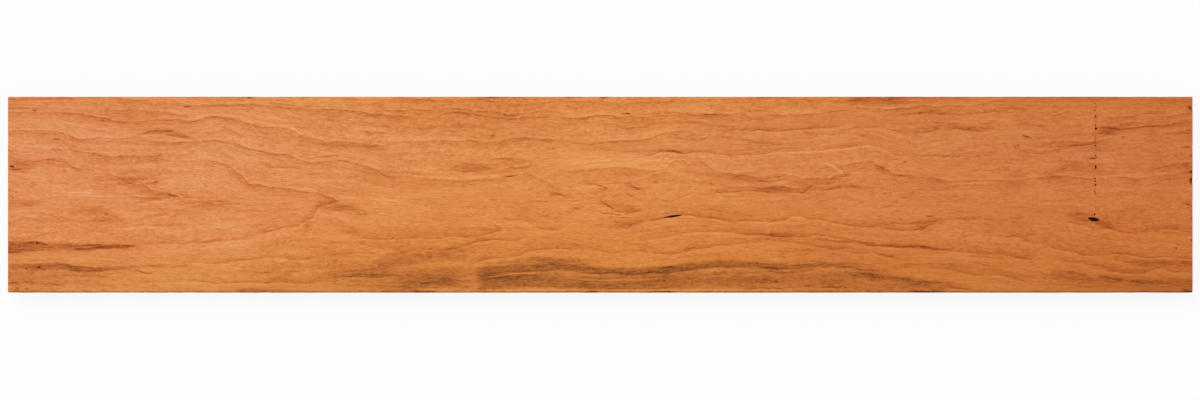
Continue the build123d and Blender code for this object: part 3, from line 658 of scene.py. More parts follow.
    [(154, 219, -0.28, 1.1), (160, 217.3, -0.49), (166, 216.8, -0.42), (170, 217.5, 0)],
    [(124, 229.5, -0.14, 0.9), (132, 227.8, -0.49), (142, 227.2, -0.56), (147, 227.3, -0.14),
     (155, 227.5, -0.49), (166, 228, -0.28)],
    [(213, 229, -0.28, 0.9), (218, 228, -0.56), (224, 227.8, -0.42), (228, 228, 0)],
    [(236, 139.5, -0.28, 0.9), (243, 143, -0.56), (250, 147), (253, 148.5, 0)],
    [(242, 139, -0.28, 0.9), (248, 142.5, -0.49), (254, 146.5, -0.42)],
    [(284, 125.5, -0.28, 0.9), (291, 127.5, -0.49), (297, 130.3), (302, 133, -0.28)],
    [(303, 157.5, 0.1, 0.9), (312, 157.8, 0.3), (322, 157.2), (332, 155.6), (339, 155, 0.1)],
    [(312, 156.3, -0.28, 0.9), (322, 155.6, -0.42), (334, 154.2, -0.28)],
    [(272, 168.8, -0.28, 0.9), (284, 169.2, -0.49), (296, 169, -0.14)],
    [(311, 173.6, 0.25, 0.9), (316, 173.7, 0.35), (321, 173.6, 0.2)],
    [(290, 187, -0.21, 0.9), (300, 189, -0.49), (312, 189.3), (322, 190.3, -0.28), (328, 191.5, 0)],
    [(271, 219.5, 0.45, 0.9), (277, 218.3, 0.3), (285, 217.2, 0.2), (290, 217, 0)],
    [(219, 201.4, 0.3, 0.9), (229, 201.4)],
    [(219, 203.6, 0.3, 0.9), (228, 203.4)],
    [(368, 196.5, -0.21, 0.9), (376, 199.5, -0.49), (384, 202.5), (390, 203.5, -0.28)],
    [(372, 193, -0.14, 0.9), (382, 197.5, -0.35), (395, 200.5)],
    [(371, 221, -0.14, 0.9), (376, 216.5, -0.35), (384, 212.5), (390, 211, 0)],
    [(842, 125, -0.28, 0.9), (848, 124.2, -0.56), (854, 124.6, -0.49), (857, 126.5, -0.14)],
    [(851, 128.4, 0.4, 0.9), (855, 127.8, 0.5), (857, 128.3, 0.1)],
    [(842, 130, -0.21, 0.9), (848, 128, -0.42), (854, 127, -0.28)],
    [(858, 147.2, -0.22, 0.9), (868, 146.4, -0.36), (876, 147.6), (884, 150, -0.32), (890, 152.8, -0.25),
     (894, 154.6, -0.07)],
    [(867, 156, -0.2, 0.9), (872, 153, -0.35), (878, 154.5), (884, 158.5, -0.3), (888, 161, -0.1)],
    [(871, 157, -0.2, 0.9), (876, 160.3, -0.35), (880, 163.2), (884, 165.6, -0.28)],
    [(890, 154, 0.2, 0.9), (895, 154.4, 0.4), (899, 154.6, 0.1)],
    [(895, 161.8, -0.3, 0.9), (902, 161.8, -0.45)],
    [(924, 157.3, -0.28, 0.9), (935, 157.5, -0.49), (947, 158.2, -0.42), (952, 158, 0)],
    [(976, 172.2, -0.28, 0.9), (985, 172.1, -0.49), (998, 172, -0.28)],
    [(972, 122.5, -0.28, 0.9), (978, 124.3, -0.56), (984, 126.3, -0.49), (990, 127.3, -0.14)],
    [(955, 183.6, -0.21, 0.9), (968, 183.1, -0.49), (985, 182.8, -0.42), (1000, 182.3, -0.21)],
    [(1086, 137, -0.28, 0.9), (1090, 132.5, -0.49), (1094, 130.5, -0.42)],
    [(1104, 167, -0.28, 0.9), (1108, 165, -0.63), (1113, 165.6), (1115, 166.5, -0.14)],
]

# Single flecks of gum and dead twig, and painted shade inside the right end's checks, as column, row,
# length, height, turn and darkness, and broad dull patches of the same kind as column, row, half length,
# half height and darkness.
FLECKS = [
    (34.5, 110.5, 4, 1.6, 0, 0.85), (12, 166.5, 4, 2, 0, 1.0), (15, 169.5, 11, 1.6, 0, 0.8),
    (11, 198, 7, 1.6, 0, 0.6), (187, 106.5, 7, 1.5, 0, 0.7), (37, 243, 2.2, 2.2, 0, 0.6),
    (39.5, 267, 2.2, 2.0, 0, 0.6), (26, 269, 2, 2, 0, 0.5), (103.5, 276.7, 6, 1.4, 0, 0.6),
    (17.5, 288.2, 4, 1.6, 0, 0.7), (26.5, 288.5, 4, 1.6, 0, 0.7), (56.5, 139.5, 6, 1.5, 0, 0.5),
    (173, 236.5, 9, 3, 0, 0.4), (154, 285.5, 5, 1.4, 0, 0.4), (185, 265.5, 10, 1.5, 0, 0.4),
    (307.5, 225.5, 8, 7, 0, 0.3), (510, 176, 13, 1.6, 5, 0.9), (453, 131.5, 7, 1.6, 0, 0.35),
    (493, 135.3, 5, 1.6, 0, 0.4), (633, 134.5, 7, 1.5, 0, 0.45), (628, 113.4, 4, 1.5, 0, 0.5),
    (862.5, 135.5, 6, 1.6, 0, 0.35), (556, 193.7, 11, 1.6, 0, 0.55), (628, 193.5, 5, 1.5, 0, 0.4),
    (655, 182, 5, 1.8, 0, 0.4), (493.5, 200, 8, 1.6, 0, 0.5), (545, 215.5, 8, 1.5, 0, 0.3),
    (930, 216.2, 7, 1.5, 0, 0.4), (939, 122.5, 9, 1.5, 0, 0.4), (952, 123, 7, 1.5, 0, 0.35),
    (990, 122.5, 12, 1.6, 15, 0.35), (904.8, 161.5, 4, 1.8, 0, 0.6), (1026.2, 136.3, 7.5, 1.8, -14, 0.75),
    (1018.5, 145.7, 2, 2, 0, 0.7), (1015, 146.8, 2, 2, 0, 0.5), (1123, 137.3, 3, 2, 0, 0.5),
    (1175.5, 155.8, 2, 2, 0, 0.5), (1176.3, 248.3, 2.2, 2.2, 0, 0.75), (1180, 251.2, 2, 2, 0, 0.4),
    (553.5, 148.3, 2.2, 2.2, 0, 0.45), (605, 128.3, 2.2, 2.2, 0, 0.45), (776, 281.5, 5, 2, 0, 0.3),
    # On the checks' rows at the right end, 107.5, 147.4 and 202.8: painted shade inside the checks
    (405, 287, 11, 4, 0, 0.25), (415, 290, 10, 3, -15, 0.3), (1190, 107.5, 5, 3, -20, 0.6),
    (1191, 156, 3, 2, 0, 0.7), (1191, 172.3, 4, 3, 0, 0.8), (1191.3, 181.4, 3.4, 5.5, 0, 1.2),
    (1188, 202.8, 10, 1.5, 4, 0.7), (1191.7, 240.3, 2.5, 2.5, 0, 0.8), (1186, 147.4, 12, 1.4, 3, 0.55),
    (1191.3, 217.5, 3, 2, 0, 0.5), (1093, 158.2, 10, 1.4, 0, 0.8), (1031, 262.6, 6, 1.6, -20, 0.4),
    (250, 97.4, 5, 2, 0, 0.9), (569, 97.2, 22, 1.6, 0, 0.7), (604, 97.3, 7, 1.8, 0, 0.9),
    (425, 291.6, 22, 2, 0, 0.35), (593, 291.6, 12, 1.8, 0, 0.8), (661, 291.6, 24, 2.2, 0, 0.9),
    (925, 291.6, 32, 1.8, 0, 0.6), (1095, 103.5, 1.8, 2, 0, 0.4), (1096, 106.5, 1.8, 2, 0, 0.35),
    (1096, 118, 1.6, 2, 0, 0.4), (1095.5, 121.6, 1.6, 2, 0, 0.45), (1095.2, 139, 2, 6, 0, 0.3),
    (1095.3, 193.6, 1.8, 2, 0, 0.5), (1095.6, 143, 2.4, 100, 0, 0.13),
]
DULL_PATCHES = [
    (120, 110, 55, 14, 0.22), (18, 165, 24, 9, 0.3), (125, 182, 44, 15, 0.22), (22, 204, 26, 7, 0.22),
    (98, 213, 17, 7, 0.26), (105, 219, 24, 7, 0.22), (165, 225, 24, 6, 0.2), (205, 204, 40, 7, 0.18),
    (340, 206, 30, 7, 0.28), (470, 167, 30, 7, 0.3), (360, 264, 90, 7, 0.22), (508, 114, 14, 6, 0.3),
    (522, 133, 35, 7, 0.18), (630, 128, 26, 8, 0.22), (630, 225, 22, 7, 0.35), (740, 176, 25, 6, 0.3),
    (765, 142, 24, 5, 0.25), (805, 186, 9, 8, 0.4), (882, 167, 10, 6, 0.4), (922, 226, 14, 6, 0.4),
    (977, 129, 16, 6, 0.25), (1048, 175, 14, 7, 0.3), (1078, 215, 14, 6, 0.35), (1106, 225, 9, 7, 0.4),
    (1108, 131, 10, 7, 0.35), (1133, 121, 9, 5, 0.3), (1188, 112, 9, 6, 0.3), (1188, 167, 9, 7, 0.3),
    (1190, 291, 7, 4, 0.7), (775, 235, 40, 6, 0.28), (345, 146, 62, 10, 0.3), (376, 174, 30, 9, 0.2),
    (158, 159, 5, 13, 0.3),
]

# Soft bands where a whole year's wood is browner, or paler where the darkness is below zero. Their widths
# are half heights in rows.
BANDS = [
    [(8, 247.5, 0.68, 6.05), (20, 247.5), (34, 246, 0.55, 5.38), (50, 246.5, 0.43, 4.7),
     (66, 246.8, 0.48, 4.26), (80, 247.6, 0.53, 3.81), (100, 247, 0.57, 2.91), (118, 246.7, 0.6, 2.24),
     (130, 246.2, 0.57, 1.79), (135, 246, 0.14), (143, 248, 0.08), (147, 248, 0)],
    [(10, 266.2, 0.43, 2.86), (40, 266.5, 0.66, 3.38), (60, 266, 0.59), (75, 268.5, 0.74, 2.86),
     (95, 269.5, 0.66, 2.21), (110, 269, 0.43, 1.82), (135, 267, 0.36), (158, 266, 0.36),
     (166, 265.8, 0)],
    [(8, 277, 0.22, 8), (40, 277, 0.2), (80, 277, 0.16), (120, 278, 0.08), (160, 280, 0)],
    [(232, 290.5, 0, 1.6), (245, 290, 0.35, 2), (262, 290, 0.35), (280, 290.5, 0.21), (300, 291, 0)],
    [(360, 264, 0, 6.25), (385, 261, 0.3, 6.6), (420, 257.5, 0.46), (445, 255, 0.43),
     (462, 252.5, 0.34, 6), (478, 250, 0.12), (486, 250, 0)],
    [(340, 288, 0, 2.5), (370, 288.5, 0.21, 3), (404, 288, 0.42, 3.4), (420, 286, 0.45, 3.8),
     (440, 284, 0.42), (455, 283, 0.35, 3.4), (468, 282, 0.21, 2.8), (475, 281, 0)],
    [(473, 271.8, 0, 4), (478, 271.2, 0.45, 4.6), (500, 269.8, 0.5), (520, 268.3, 0.52),
     (540, 267.3, 0.5), (556, 267, 0.44, 4), (575, 269, 0.46), (600, 271.2, 0.5), (620, 271.8, 0.54),
     (640, 271.2, 0.54), (660, 270.2, 0.54), (680, 268, 0.55), (700, 266, 0.57), (720, 264.8, 0.58),
     (750, 265.3, 0.57), (770, 266.6, 0.42, 3.6), (790, 266.8, 0.4, 3.2), (815, 265.6, 0.44),
     (840, 265.2, 0.31), (862, 267, 0.1), (880, 268, 0)],
    [(476, 282, 0, 7), (481, 282, 0.62), (500, 281.6, 0.64), (520, 280.8, 0.63), (545, 280.4, 0.6),
     (560, 280.8, 0.57), (600, 282.2, 0.56), (640, 281.4, 0.55, 7.4), (680, 279.6, 0.56, 8),
     (720, 279.2, 0.51), (760, 280, 0.46), (800, 280, 0.42), (840, 280, 0.4), (870, 282, 0.33),
     (900, 284.5, 0.32, 6), (930, 286, 0.3, 5), (955, 287, 0.12), (970, 287.5, 0)],
    [(852, 273.3, 0, 1.6), (868, 275, 0.24, 2.4), (885, 277.3, 0.36, 3), (900, 279.5, 0.41, 3.6),
     (915, 281.5, 0.39, 4), (926, 283.2, 0.3), (938, 285, 0.09), (948, 286, 0)],
    [(523, 258.5, 0, 1.4), (531, 258.5, 0.34), (545, 260, 0.42, 2.8), (556, 262, 0.36, 3.2),
     (570, 261, 0.2, 1.8), (590, 260.5, 0.2, 1.2), (606, 261, 0)],
    [(860, 243.8, 0, 1.2), (870, 244.3, 0.34), (885, 245.5, 0.34, 1.6), (900, 246.2, 0.45, 2),
     (915, 246.6, 0.49, 2.3), (928, 248, 0.49, 2.2), (938, 249.3, 0.38, 1.6), (950, 250, 0.15, 1.2),
     (962, 251, 0)],
    [(844, 101, 0, 3), (854, 101, 0.25, 4), (880, 101.5, 0.26), (900, 101, 0.18, 3.5), (925, 100.5, 0.12),
     (960, 100, 0.1, 3), (1000, 100, 0)],
    [(1096, 130.5, 0, 3), (1102, 129.5, 0.34, 4), (1115, 128.5, 0.28, 3.4), (1130, 127, 0.22, 2.8),
     (1150, 125.3, 0.22, 2.4), (1175, 123.3, 0.18), (1192, 121.5, 0.14)],
    [(1055, 283, 0, 6), (1090, 282.5, 0.15, 7), (1120, 282.5, 0.22), (1160, 283.5, 0.27),
     (1192, 284.5, 0.32)],
    [(980, 277, 0, 4), (1000, 279, 0.13), (1025, 278, 0.13, 5), (1060, 276, 0.12), (1078, 275, 0.05),
     (1090, 275, 0)],
    [(1124, 262.5, 0, 2.4), (1140, 263.3, 0.4, 3), (1165, 262.5, 0.42), (1192, 263.5, 0.4)],
    [(8, 203, 0.21, 3), (22, 204, 0.24), (35, 203, 0.15), (50, 205, 0.06), (60, 206, 0)],
    [(55, 213, 0, 2.5), (75, 211, 0.13, 3), (95, 210, 0.22), (110, 213, 0.24), (118, 218, 0.22, 3.4),
     (122, 221, 0.12), (128, 222, 0)],
    [(20, 219, 0.09, 2), (50, 220.5, 0.16, 2.4), (80, 221, 0.18), (105, 221.5, 0.2), (120, 221, 0.12),
     (130, 220, 0)],
    [(175, 204, 0, 3), (190, 203, 0.16), (205, 203.5, 0.18), (220, 204, 0.12), (232, 205, 0)],
    [(312, 207, 0, 3), (320, 207, 0.26, 3.4), (335, 207, 0.26), (350, 209, 0.22, 3.8), (362, 212, 0.21),
     (370, 214, 0.07), (378, 214, 0)],
    [(225, 266.5, 0, 2), (250, 266.5, 0.03, 2.4), (275, 263.5, 0.04, 2.8), (300, 264.5, 0.04),
     (330, 265, 0.04), (360, 264, 0.04), (378, 263, 0)],
    [(138, 133.5, 0, 2.16), (148, 132, 0.28, 2.64), (162, 131.8, 0.4, 3), (176, 134, 0.31, 2.64),
     (186, 136, 0.16), (196, 138, 0)],
    [(600, 201, 0, 2), (607, 203, 0.22, 2.6), (615, 205.5, 0.28, 3.2), (625, 207, 0.3, 3.6),
     (634, 208.5, 0.26, 3), (640, 210, 0.1, 2), (645, 210, 0)],
    [(752, 190, 0, 1), (760, 189.5, 0.18, 1.6), (768, 188.5, 0.25, 2.6), (777, 187.8, 0.25, 2.8),
     (786, 188.5, 0.19, 2.2), (792, 189.5, 0.07), (798, 190, 0)],
    [(809, 188.5, 0, 1.6), (815, 188.5, 0.25), (828, 188, 0.22), (840, 187, 0.2, 1.4), (852, 186, 0.12),
     (862, 186, 0)],
    [(119, 179, 0, 2.5), (126, 179.5, 0.36, 3.4), (132, 180.5, 0.34), (138, 178, 0.14),
     (150, 177, 0.24, 3), (156, 178, 0.2), (161, 177, 0)],
    [(150, 224.5, 0, 1.6), (158, 224.3, 0.18, 2), (168, 224.8, 0.2), (178, 225.3, 0.18), (186, 226, 0)],
    [(945, 130, 0, 1.5), (958, 128.5, 0.15, 2.2), (972, 129, 0.22, 2.6), (985, 128.5, 0.18),
     (996, 128, 0)],
    [(926, 179, 0, 1.6), (934, 179.5, 0.2, 2.2), (942, 180.5, 0.15), (950, 181, 0)],
    [(1040, 175, 0, 3), (1055, 170, 0.16, 4), (1070, 166, 0.2), (1085, 164.5, 0.18), (1093, 164, 0)],
    [(1072, 215, 0, 2), (1078, 217.5, 0.2, 3.4), (1086, 219.5, 0.22), (1094, 221, 0.15),
     (1102, 223, 0.25, 2.6), (1109, 226), (1114, 228.5, 0.1), (1118, 230, 0)],
    [(1046, 272, 0, 3), (1055, 273.5, 0.2, 4), (1075, 276, 0.25, 4.4), (1088, 278, 0.2, 3.4),
     (1095, 279, 0)],
    [(1096, 279, 0, 2.5), (1105, 278.5, 0.22, 3.4), (1118, 280), (1128, 281.5, 0.1), (1140, 282, 0.18, 3),
     (1155, 283), (1168, 283, 0)],
    [(290, 252, 0, 8), (340, 250, 0.07), (400, 248, 0.1), (460, 250, 0.06), (500, 250, 0)],
    [(300, 277, 0, 8), (340, 277, 0.2), (370, 276, 0.42), (410, 276, 0.48), (450, 275, 0.42),
     (474, 274, 0)],
    [(490, 263, 0, 5), (515, 262, 0.14), (560, 263, 0.2, 6), (590, 265, 0.17), (610, 266, 0.06),
     (622, 266, 0)],
    [(540, 284, 0, 7), (570, 284, 0.14), (600, 284, 0.1), (630, 284, 0)],
    [(140, 234, 0, 8), (175, 234, -0.14), (235, 232, -0.2), (256, 230, 0)],
    [(140, 250, 0, 8), (175, 250, -0.15), (240, 250, -0.18), (262, 250, 0)],
    [(100, 266, 0, 8), (150, 266, -0.1), (200, 266, -0.13), (240, 266, -0.1), (258, 266, 0)],
    [(100, 282, 0, 8), (130, 282, -0.15), (170, 282, -0.2), (195, 282, -0.14), (220, 282, -0.06),
     (240, 282, 0)],
    [(588, 136, 0, 8), (620, 136, -0.17), (660, 136, -0.18), (692, 138, 0)],
    [(545, 157, 0, 8), (575, 158, -0.26), (625, 161, -0.3), (660, 165, -0.24), (692, 167, 0)],
    [(290, 152, 0, 6), (320, 152, -0.08), (350, 154, -0.06), (366, 156, 0)],
    [(1040, 172, 0, 7), (1070, 170, 0.1), (1110, 169, 0.12), (1136, 168, 0)],
    [(835, 269, 0, 8), (852, 270, 0.2), (875, 274, 0.17), (895, 279, 0)],
    [(740, 102, 0, 5), (800, 102, 0.09, 6), (900, 103, 0.05), (1000, 103, 0.07), (1100, 103, 0.09),
     (1192, 104)],
    [(240, 106, 0, 8), (300, 107, 0.07), (360, 108, 0.09), (440, 108, 0.07), (520, 107, 0.08),
     (590, 105, 0.06), (604, 104, 0)],
    [(270, 122, 0, 8), (310, 122, 0.07), (400, 126, 0.07), (440, 128, 0.05), (480, 124, 0.04),
     (520, 122, 0)],
    [(330, 234, 0, 7), (400, 234, 0.1), (460, 233, 0.08), (500, 234, 0)],
    [(8, 104, 0.12, 6), (50, 104, 0.08), (80, 104, 0)],
    [(8, 168, 0.12, 7), (40, 168, 0.09), (70, 170, 0)],
    [(895, 282, 0, 8), (920, 283, -0.08), (960, 283, -0.12), (1030, 283, -0.1), (1050, 283, 0)],
    [(477, 277.6, 0, 1.6), (485, 277.2, 0.32), (510, 276, 0.34), (540, 274.5, 0.3), (562, 273.6, 0.15),
     (576, 274, 0)],
    [(770, 258, 0, 5), (800, 257, 0.14), (850, 258, 0.16), (885, 260, 0.05), (900, 262, 0)],
    [(905, 232, 0, 8), (940, 234, -0.13), (975, 238, -0.11), (1000, 240, 0)],
    [(430, 150, 0, 6), (458, 150, -0.16), (485, 150, -0.08), (505, 150, 0)],
    [(590, 120, 0, 6), (625, 121, -0.1), (665, 121, -0.1), (692, 122, 0)],
]

# The run of the grain between the upper and the lower edge: rows that the fine fibre follows, by column.
GRAIN_RUNS = [
    [(8, 96.7), (1192, 96.7)],
    [(8, 104), (60, 104), (100, 101), (145, 100), (195, 105), (250, 104), (300, 109), (365, 113),
     (420, 117), (433, 118), (450, 112.5), (510, 118.5), (570, 118), (605, 115.7), (690, 115), (757, 116),
     (800, 115), (850, 110.5), (895, 109), (924, 105.7), (970, 106), (1000, 102), (1100, 104),
     (1192, 102)],
    [(8, 112.5), (60, 113), (100, 118), (138, 122), (190, 122), (215, 117), (250, 124), (295, 131),
     (330, 142), (376, 146), (440, 140.3), (490, 142.5), (524, 137.5), (590, 144), (640, 140.3),
     (670, 132.5), (690, 131.5), (750, 130), (815, 128), (850, 125.5), (915, 132.7), (956, 127.5),
     (1000, 129), (1060, 130), (1110, 131), (1150, 126.8), (1192, 121.5)],
    [(8, 131), (58, 132), (82, 139.6), (150, 141), (214, 140.5), (250, 149.5), (290, 156), (340, 160.5),
     (371, 168), (388, 175), (450, 180), (516, 175), (545, 165), (595, 158.5), (660, 151.5), (690, 152),
     (734, 156), (800, 151), (866, 145.3), (896, 154.5), (940, 161), (1000, 152), (1043, 152),
     (1090, 144), (1192, 147)],
    [(8, 185), (100, 195), (174, 195), (336, 200.5), (450, 205), (550, 205), (620, 200), (700, 200),
     (780, 204), (850, 203), (950, 204), (1050, 205), (1192, 200)],
    [(8, 215), (145, 212), (220, 215), (290, 214), (317, 210), (340, 215), (425, 225), (499, 229),
     (560, 229.5), (622, 227), (672, 216.5), (733, 222), (800, 219), (860, 227), (900, 229), (942, 220),
     (1012, 219), (1090, 227), (1134, 232.5), (1168, 228.8), (1192, 231)],
    [(8, 246), (145, 243.8), (231, 240), (272, 231), (290, 226.3), (310, 230), (350, 234), (412, 237.5),
     (441, 238), (480, 242), (520, 240), (560, 236), (620, 240), (660, 238), (700, 232), (755, 236),
     (800, 235), (845, 242.5), (872, 246), (930, 247), (988, 253), (1025, 258), (1050, 248), (1084, 255),
     (1120, 253.7), (1154, 257.7), (1192, 258.7)],
    [(8, 268), (100, 269), (160, 282), (216, 283.5), (280, 282), (320, 279.5), (352, 276.3), (388, 276),
     (440, 279), (478, 276.5), (541, 272), (605, 274), (650, 272.7), (700, 268), (750, 266), (780, 268.5),
     (840, 266), (880, 270.5), (950, 270), (978, 275), (1026, 283), (1055, 286), (1192, 287)],
    [(8, 292.8), (1192, 292.8)],
]

wood = bpy.data.materials.new("cherry, planed")
wood.use_nodes = True
wood.node_tree.nodes.clear()


def linear(colour):
    """The linear RGBA of an sRGB hex colour."""
    channels = [int(colour[i:i + 2], 16) / 255 for i in (1, 3, 5)]
    return [c / 12.92 if c <= 0.04045 else ((c + 0.055) / 1.055) ** 2.4 for c in channels] + [1.0]


def add(tree, kind, inputs=(), **settings):
    """A node of a kind with its settings, and its inputs in order: a value, a socket or a node to link."""
    node = tree.nodes.new(kind)
    for name, value in settings.items():
        setattr(node, name, value)
    named = inputs.items() if isinstance(inputs, dict) else enumerate(inputs)
    for name, value in named:
        if isinstance(value, bpy.types.Node):
            value = value.outputs[0]
        if isinstance(value, bpy.types.NodeSocket):
            tree.links.new(value, node.inputs[name])
        elif value is not None:
            node.inputs[name].default_value = value
    return node


def trace(mapping, channel, points, handle):
    """Sets one curve of a node's mapping to the points."""
    curve = mapping.curves[channel]
    while len(curve.points) < len(points):
        curve.points.new(0.5, 0.5)
    for spot, (x, y) in zip(curve.points, points):
        spot.location = (x, y)
        spot.handle_type = handle
    mapping.extend = "HORIZONTAL"
    mapping.update()


def cells(*sizes):
    """A pattern's cells to the millimetre, from a cell's size along, across and through the board."""
    return [1 / size for size in sizes]


tree = wood.node_tree
place = add(tree, "ShaderNodeTexCoord").outputs
in_mm = add(tree, "ShaderNodeVectorMath", [place["Object"], cells(MM, MM, MM)], operation="MULTIPLY")
x, y, z = add(tree, "ShaderNodeSeparateXYZ", [in_mm]).outputs

# The show face's figure goes on through the thickness along the rings, so that the edges, the ends and the
# back carry the same rings: every point is brought up to the show face on a ring round the pith.
PITH_BELOW_FACE = 88.0
PITH_ROW = 199.0
from_pith = add(tree, "ShaderNodeMath", [y, across_mm(PITH_ROW)], operation="SUBTRACT")
above_pith = add(tree, "ShaderNodeMath", [z, PITH_BELOW_FACE - THICKNESS_MM])
across_squared = add(tree, "ShaderNodeMath", [from_pith, from_pith], operation="MULTIPLY")
ring_squared = add(tree, "ShaderNodeMath", [above_pith, above_pith, across_squared],
                   operation="MULTIPLY_ADD")
past_face = add(tree, "ShaderNodeMath", [ring_squared, PITH_BELOW_FACE ** 2], operation="SUBTRACT")
past_face_only = add(tree, "ShaderNodeMath", [past_face, 0.0], operation="MAXIMUM")
reach = add(tree, "ShaderNodeMath", [past_face_only], operation="SQRT")
side = add(tree, "ShaderNodeMath", [from_pith], operation="SIGN")
on_face = add(tree, "ShaderNodeMath", [reach, side, across_mm(PITH_ROW)], operation="MULTIPLY_ADD")

# Uneven growth: the lines waver by about half a millimetre over a centimetre or two, and fray by less than
# that over a few millimetres.
WAVER = 1.3
FRAY = 0.7
below = add(tree, "ShaderNodeMath", [z, THICKNESS_MM], operation="SUBTRACT")
waver_place = add(tree, "ShaderNodeCombineXYZ", [x, y, below])
waver_scaled = add(tree, "ShaderNodeVectorMath", [waver_place, cells(16, 7, 7)], operation="MULTIPLY")
waver = add(tree, "ShaderNodeTexNoise",
            {"Vector": waver_scaled, "Scale": 1.0, "Detail": 2.0, "Roughness": 0.5})
fray_scaled = add(tree, "ShaderNodeVectorMath", [waver_place, cells(3.2, 1.1, 1.1)], operation="MULTIPLY")
fray = add(tree, "ShaderNodeTexNoise",
           {"Vector": fray_scaled, "Scale": 1.0, "Detail": 1.0, "Roughness": 0.5})
waver_mm = add(tree, "ShaderNodeMath", [waver, WAVER, -WAVER / 2], operation="MULTIPLY_ADD")
fray_mm = add(tree, "ShaderNodeMath", [fray, FRAY, -FRAY / 2], operation="MULTIPLY_ADD")
plain = add(tree, "ShaderNodeMath", [y, waver_mm])
wavered = add(tree, "ShaderNodeMath", [on_face, waver_mm])
frayed = add(tree, "ShaderNodeMath", [wavered, fray_mm])

# Shares of the board's length from its left end and of its width from its upper edge
along = add(tree, "ShaderNodeMath", [x, 1 / LENGTH_MM, 0.5], operation="MULTIPLY_ADD").outputs[0]
down = add(tree, "ShaderNodeMath", [frayed, -1 / WIDTH_MM, 0.5], operation="MULTIPLY_ADD").outputs[0]
down_plain = add(tree, "ShaderNodeMath", [plain, -1 / WIDTH_MM, 0.5], operation="MULTIPLY_ADD").outputs[0]


def share_along(column):
    return min(1.0, max(0.0, 0.5 + along_mm(column) / LENGTH_MM))


def share_down(row):
    return 0.5 - across_mm(row) / WIDTH_MM


# The grain's own run: between two guides a point's share of the width is stretched to lie level.
run = None
for upper, lower in zip(GRAIN_RUNS, GRAIN_RUNS[1:]):
    rows = []
    for guide in (upper, lower):
        curve = add(tree, "ShaderNodeFloatCurve", {"Value": along})
        trace(curve.mapping, 0, [(share_along(c), share_down(r)) for c, r in guide], "AUTO_CLAMPED")
        rows.append(curve)
    nominal = [sum(share_down(r) for c, r in guide) / len(guide) for guide in (upper, lower)]
    step = add(tree, "ShaderNodeMapRange", [down_plain, rows[0], rows[1], 0.0, nominal[1] - nominal[0]])
    run = step if run is None else add(tree, "ShaderNodeMath", [run, step])

# Lines fade over a few columns at their ends, apart from those that run out at an end of the board. Their
# usual width and the widest that a curve holds are in rows.
LINE_WIDTH = 1.55
WIDEST = 8.0
FADE = 4.0
TRACK_GAP = 3 * FADE
LEFT_END_COLUMN = 9
RIGHT_END_COLUMN = 1190


def packed(lines):
    """Lines sorted into as few tracks as let each track have one line at a column."""
    tracks = []
    for line in sorted(lines, key=lambda line: line[0][0]):
        for track in tracks:
            if track[-1][-1][0] + TRACK_GAP < line[0][0]:
                track.append(line)
                break
        else:
            tracks.append([line])
    return tracks


def laid(track):
    """The columns, rows, darknesses and widths of a track, each line faded at its ends."""
    spots = []
    for line in track:
        darkness = 0.0
        width = LINE_WIDTH
        drawn = []
        for column, row, *rest in line:
            darkness = rest[0] if rest else darkness
            width = rest[1] if len(rest) > 1 else width
            drawn.append((column, row, darkness, width))
        first, last = drawn[0], drawn[-1]
        start = first[2] if first[0] < LEFT_END_COLUMN else 0.0
        end = last[2] if last[0] > RIGHT_END_COLUMN else 0.0
        spots.append((first[0] - FADE, first[1], start, first[3]))
        spots += drawn
        spots.append((last[0] + FADE, last[1], end, last[3]))
    return spots


# Profiles across a line, as distance in widths and share of its darkness. Late wood fades in from the soft
# side and stops hard at the next year's early wood, with a pale rim. The others are soft on both sides.
LATE_WOOD = [(-4.0, 0.0), (-2.2, -0.06), (-1.1, -0.25), (-0.62, -0.08), (-0.3, 0.58), (0.0, 0.82),
             (0.4, 0.71), (0.8, 0.5), (1.5, 0.37), (3.0, 0.24), (5.0, 0.11), (8.0, 0.0)]
STREAK = [(-2.0, 0.0), (-1.1, 0.08), (-0.6, 0.55), (0.0, 1.0), (0.6, 0.55), (1.1, 0.08), (2.0, 0.0)]
BAND = [(-1.6, 0.0), (-1.15, 0.2), (-0.75, 0.82), (0.0, 1.0), (0.75, 0.82), (1.15, 0.2), (1.6, 0.0)]
UNIT = WIDEST / (WIDTH_MM / MM_PER_PIXEL)
along_thrice = add(tree, "ShaderNodeCombineColor", [along, along, along])
darknesses = {"late wood": None, "streaks": None, "bands": None}
for kind, lines, profile, shaded_above in (
    ("late wood", LATE_WOOD_SHADED_BELOW, LATE_WOOD, False),
    ("late wood", LATE_WOOD_SHADED_ABOVE, LATE_WOOD, True),
    ("streaks", STREAKS, STREAK, False),
    ("bands", BANDS, BAND, False),
):
    for track in packed(lines):
        spots = laid(track)
        curves = add(tree, "ShaderNodeRGBCurve", {"Color": along_thrice})
        columns = [share_along(spot[0]) for spot in spots]
        trace(curves.mapping, 0, [(c, share_down(s[1])) for c, s in zip(columns, spots)], "AUTO_CLAMPED")
        trace(curves.mapping, 1, [(c, s[2]) for c, s in zip(columns, spots)], "VECTOR")
        trace(curves.mapping, 2, [(c, s[3] / WIDEST) for c, s in zip(columns, spots)], "VECTOR")
        row, strength, width = add(tree, "ShaderNodeSeparateColor", [curves]).outputs
        pair = [row, down] if shaded_above else [down, row]
        apart = add(tree, "ShaderNodeMath", pair, operation="SUBTRACT")
        widths = add(tree, "ShaderNodeMath", [apart, width], operation="DIVIDE")
        shape = add(tree, "ShaderNodeFloatCurve", {"Value": widths})
        shape.mapping.clip_min_x = profile[0][0] * UNIT
        shape.mapping.clip_max_x = profile[-1][0] * UNIT
        shape.mapping.clip_min_y = -1.0
        trace(shape.mapping, 0, [(px * UNIT, py) for px, py in profile], "AUTO_CLAMPED")
        darknesses[kind] = add(tree, "ShaderNodeMath", [shape, strength, darknesses[kind] or 0.0],
                               operation="MULTIPLY_ADD")

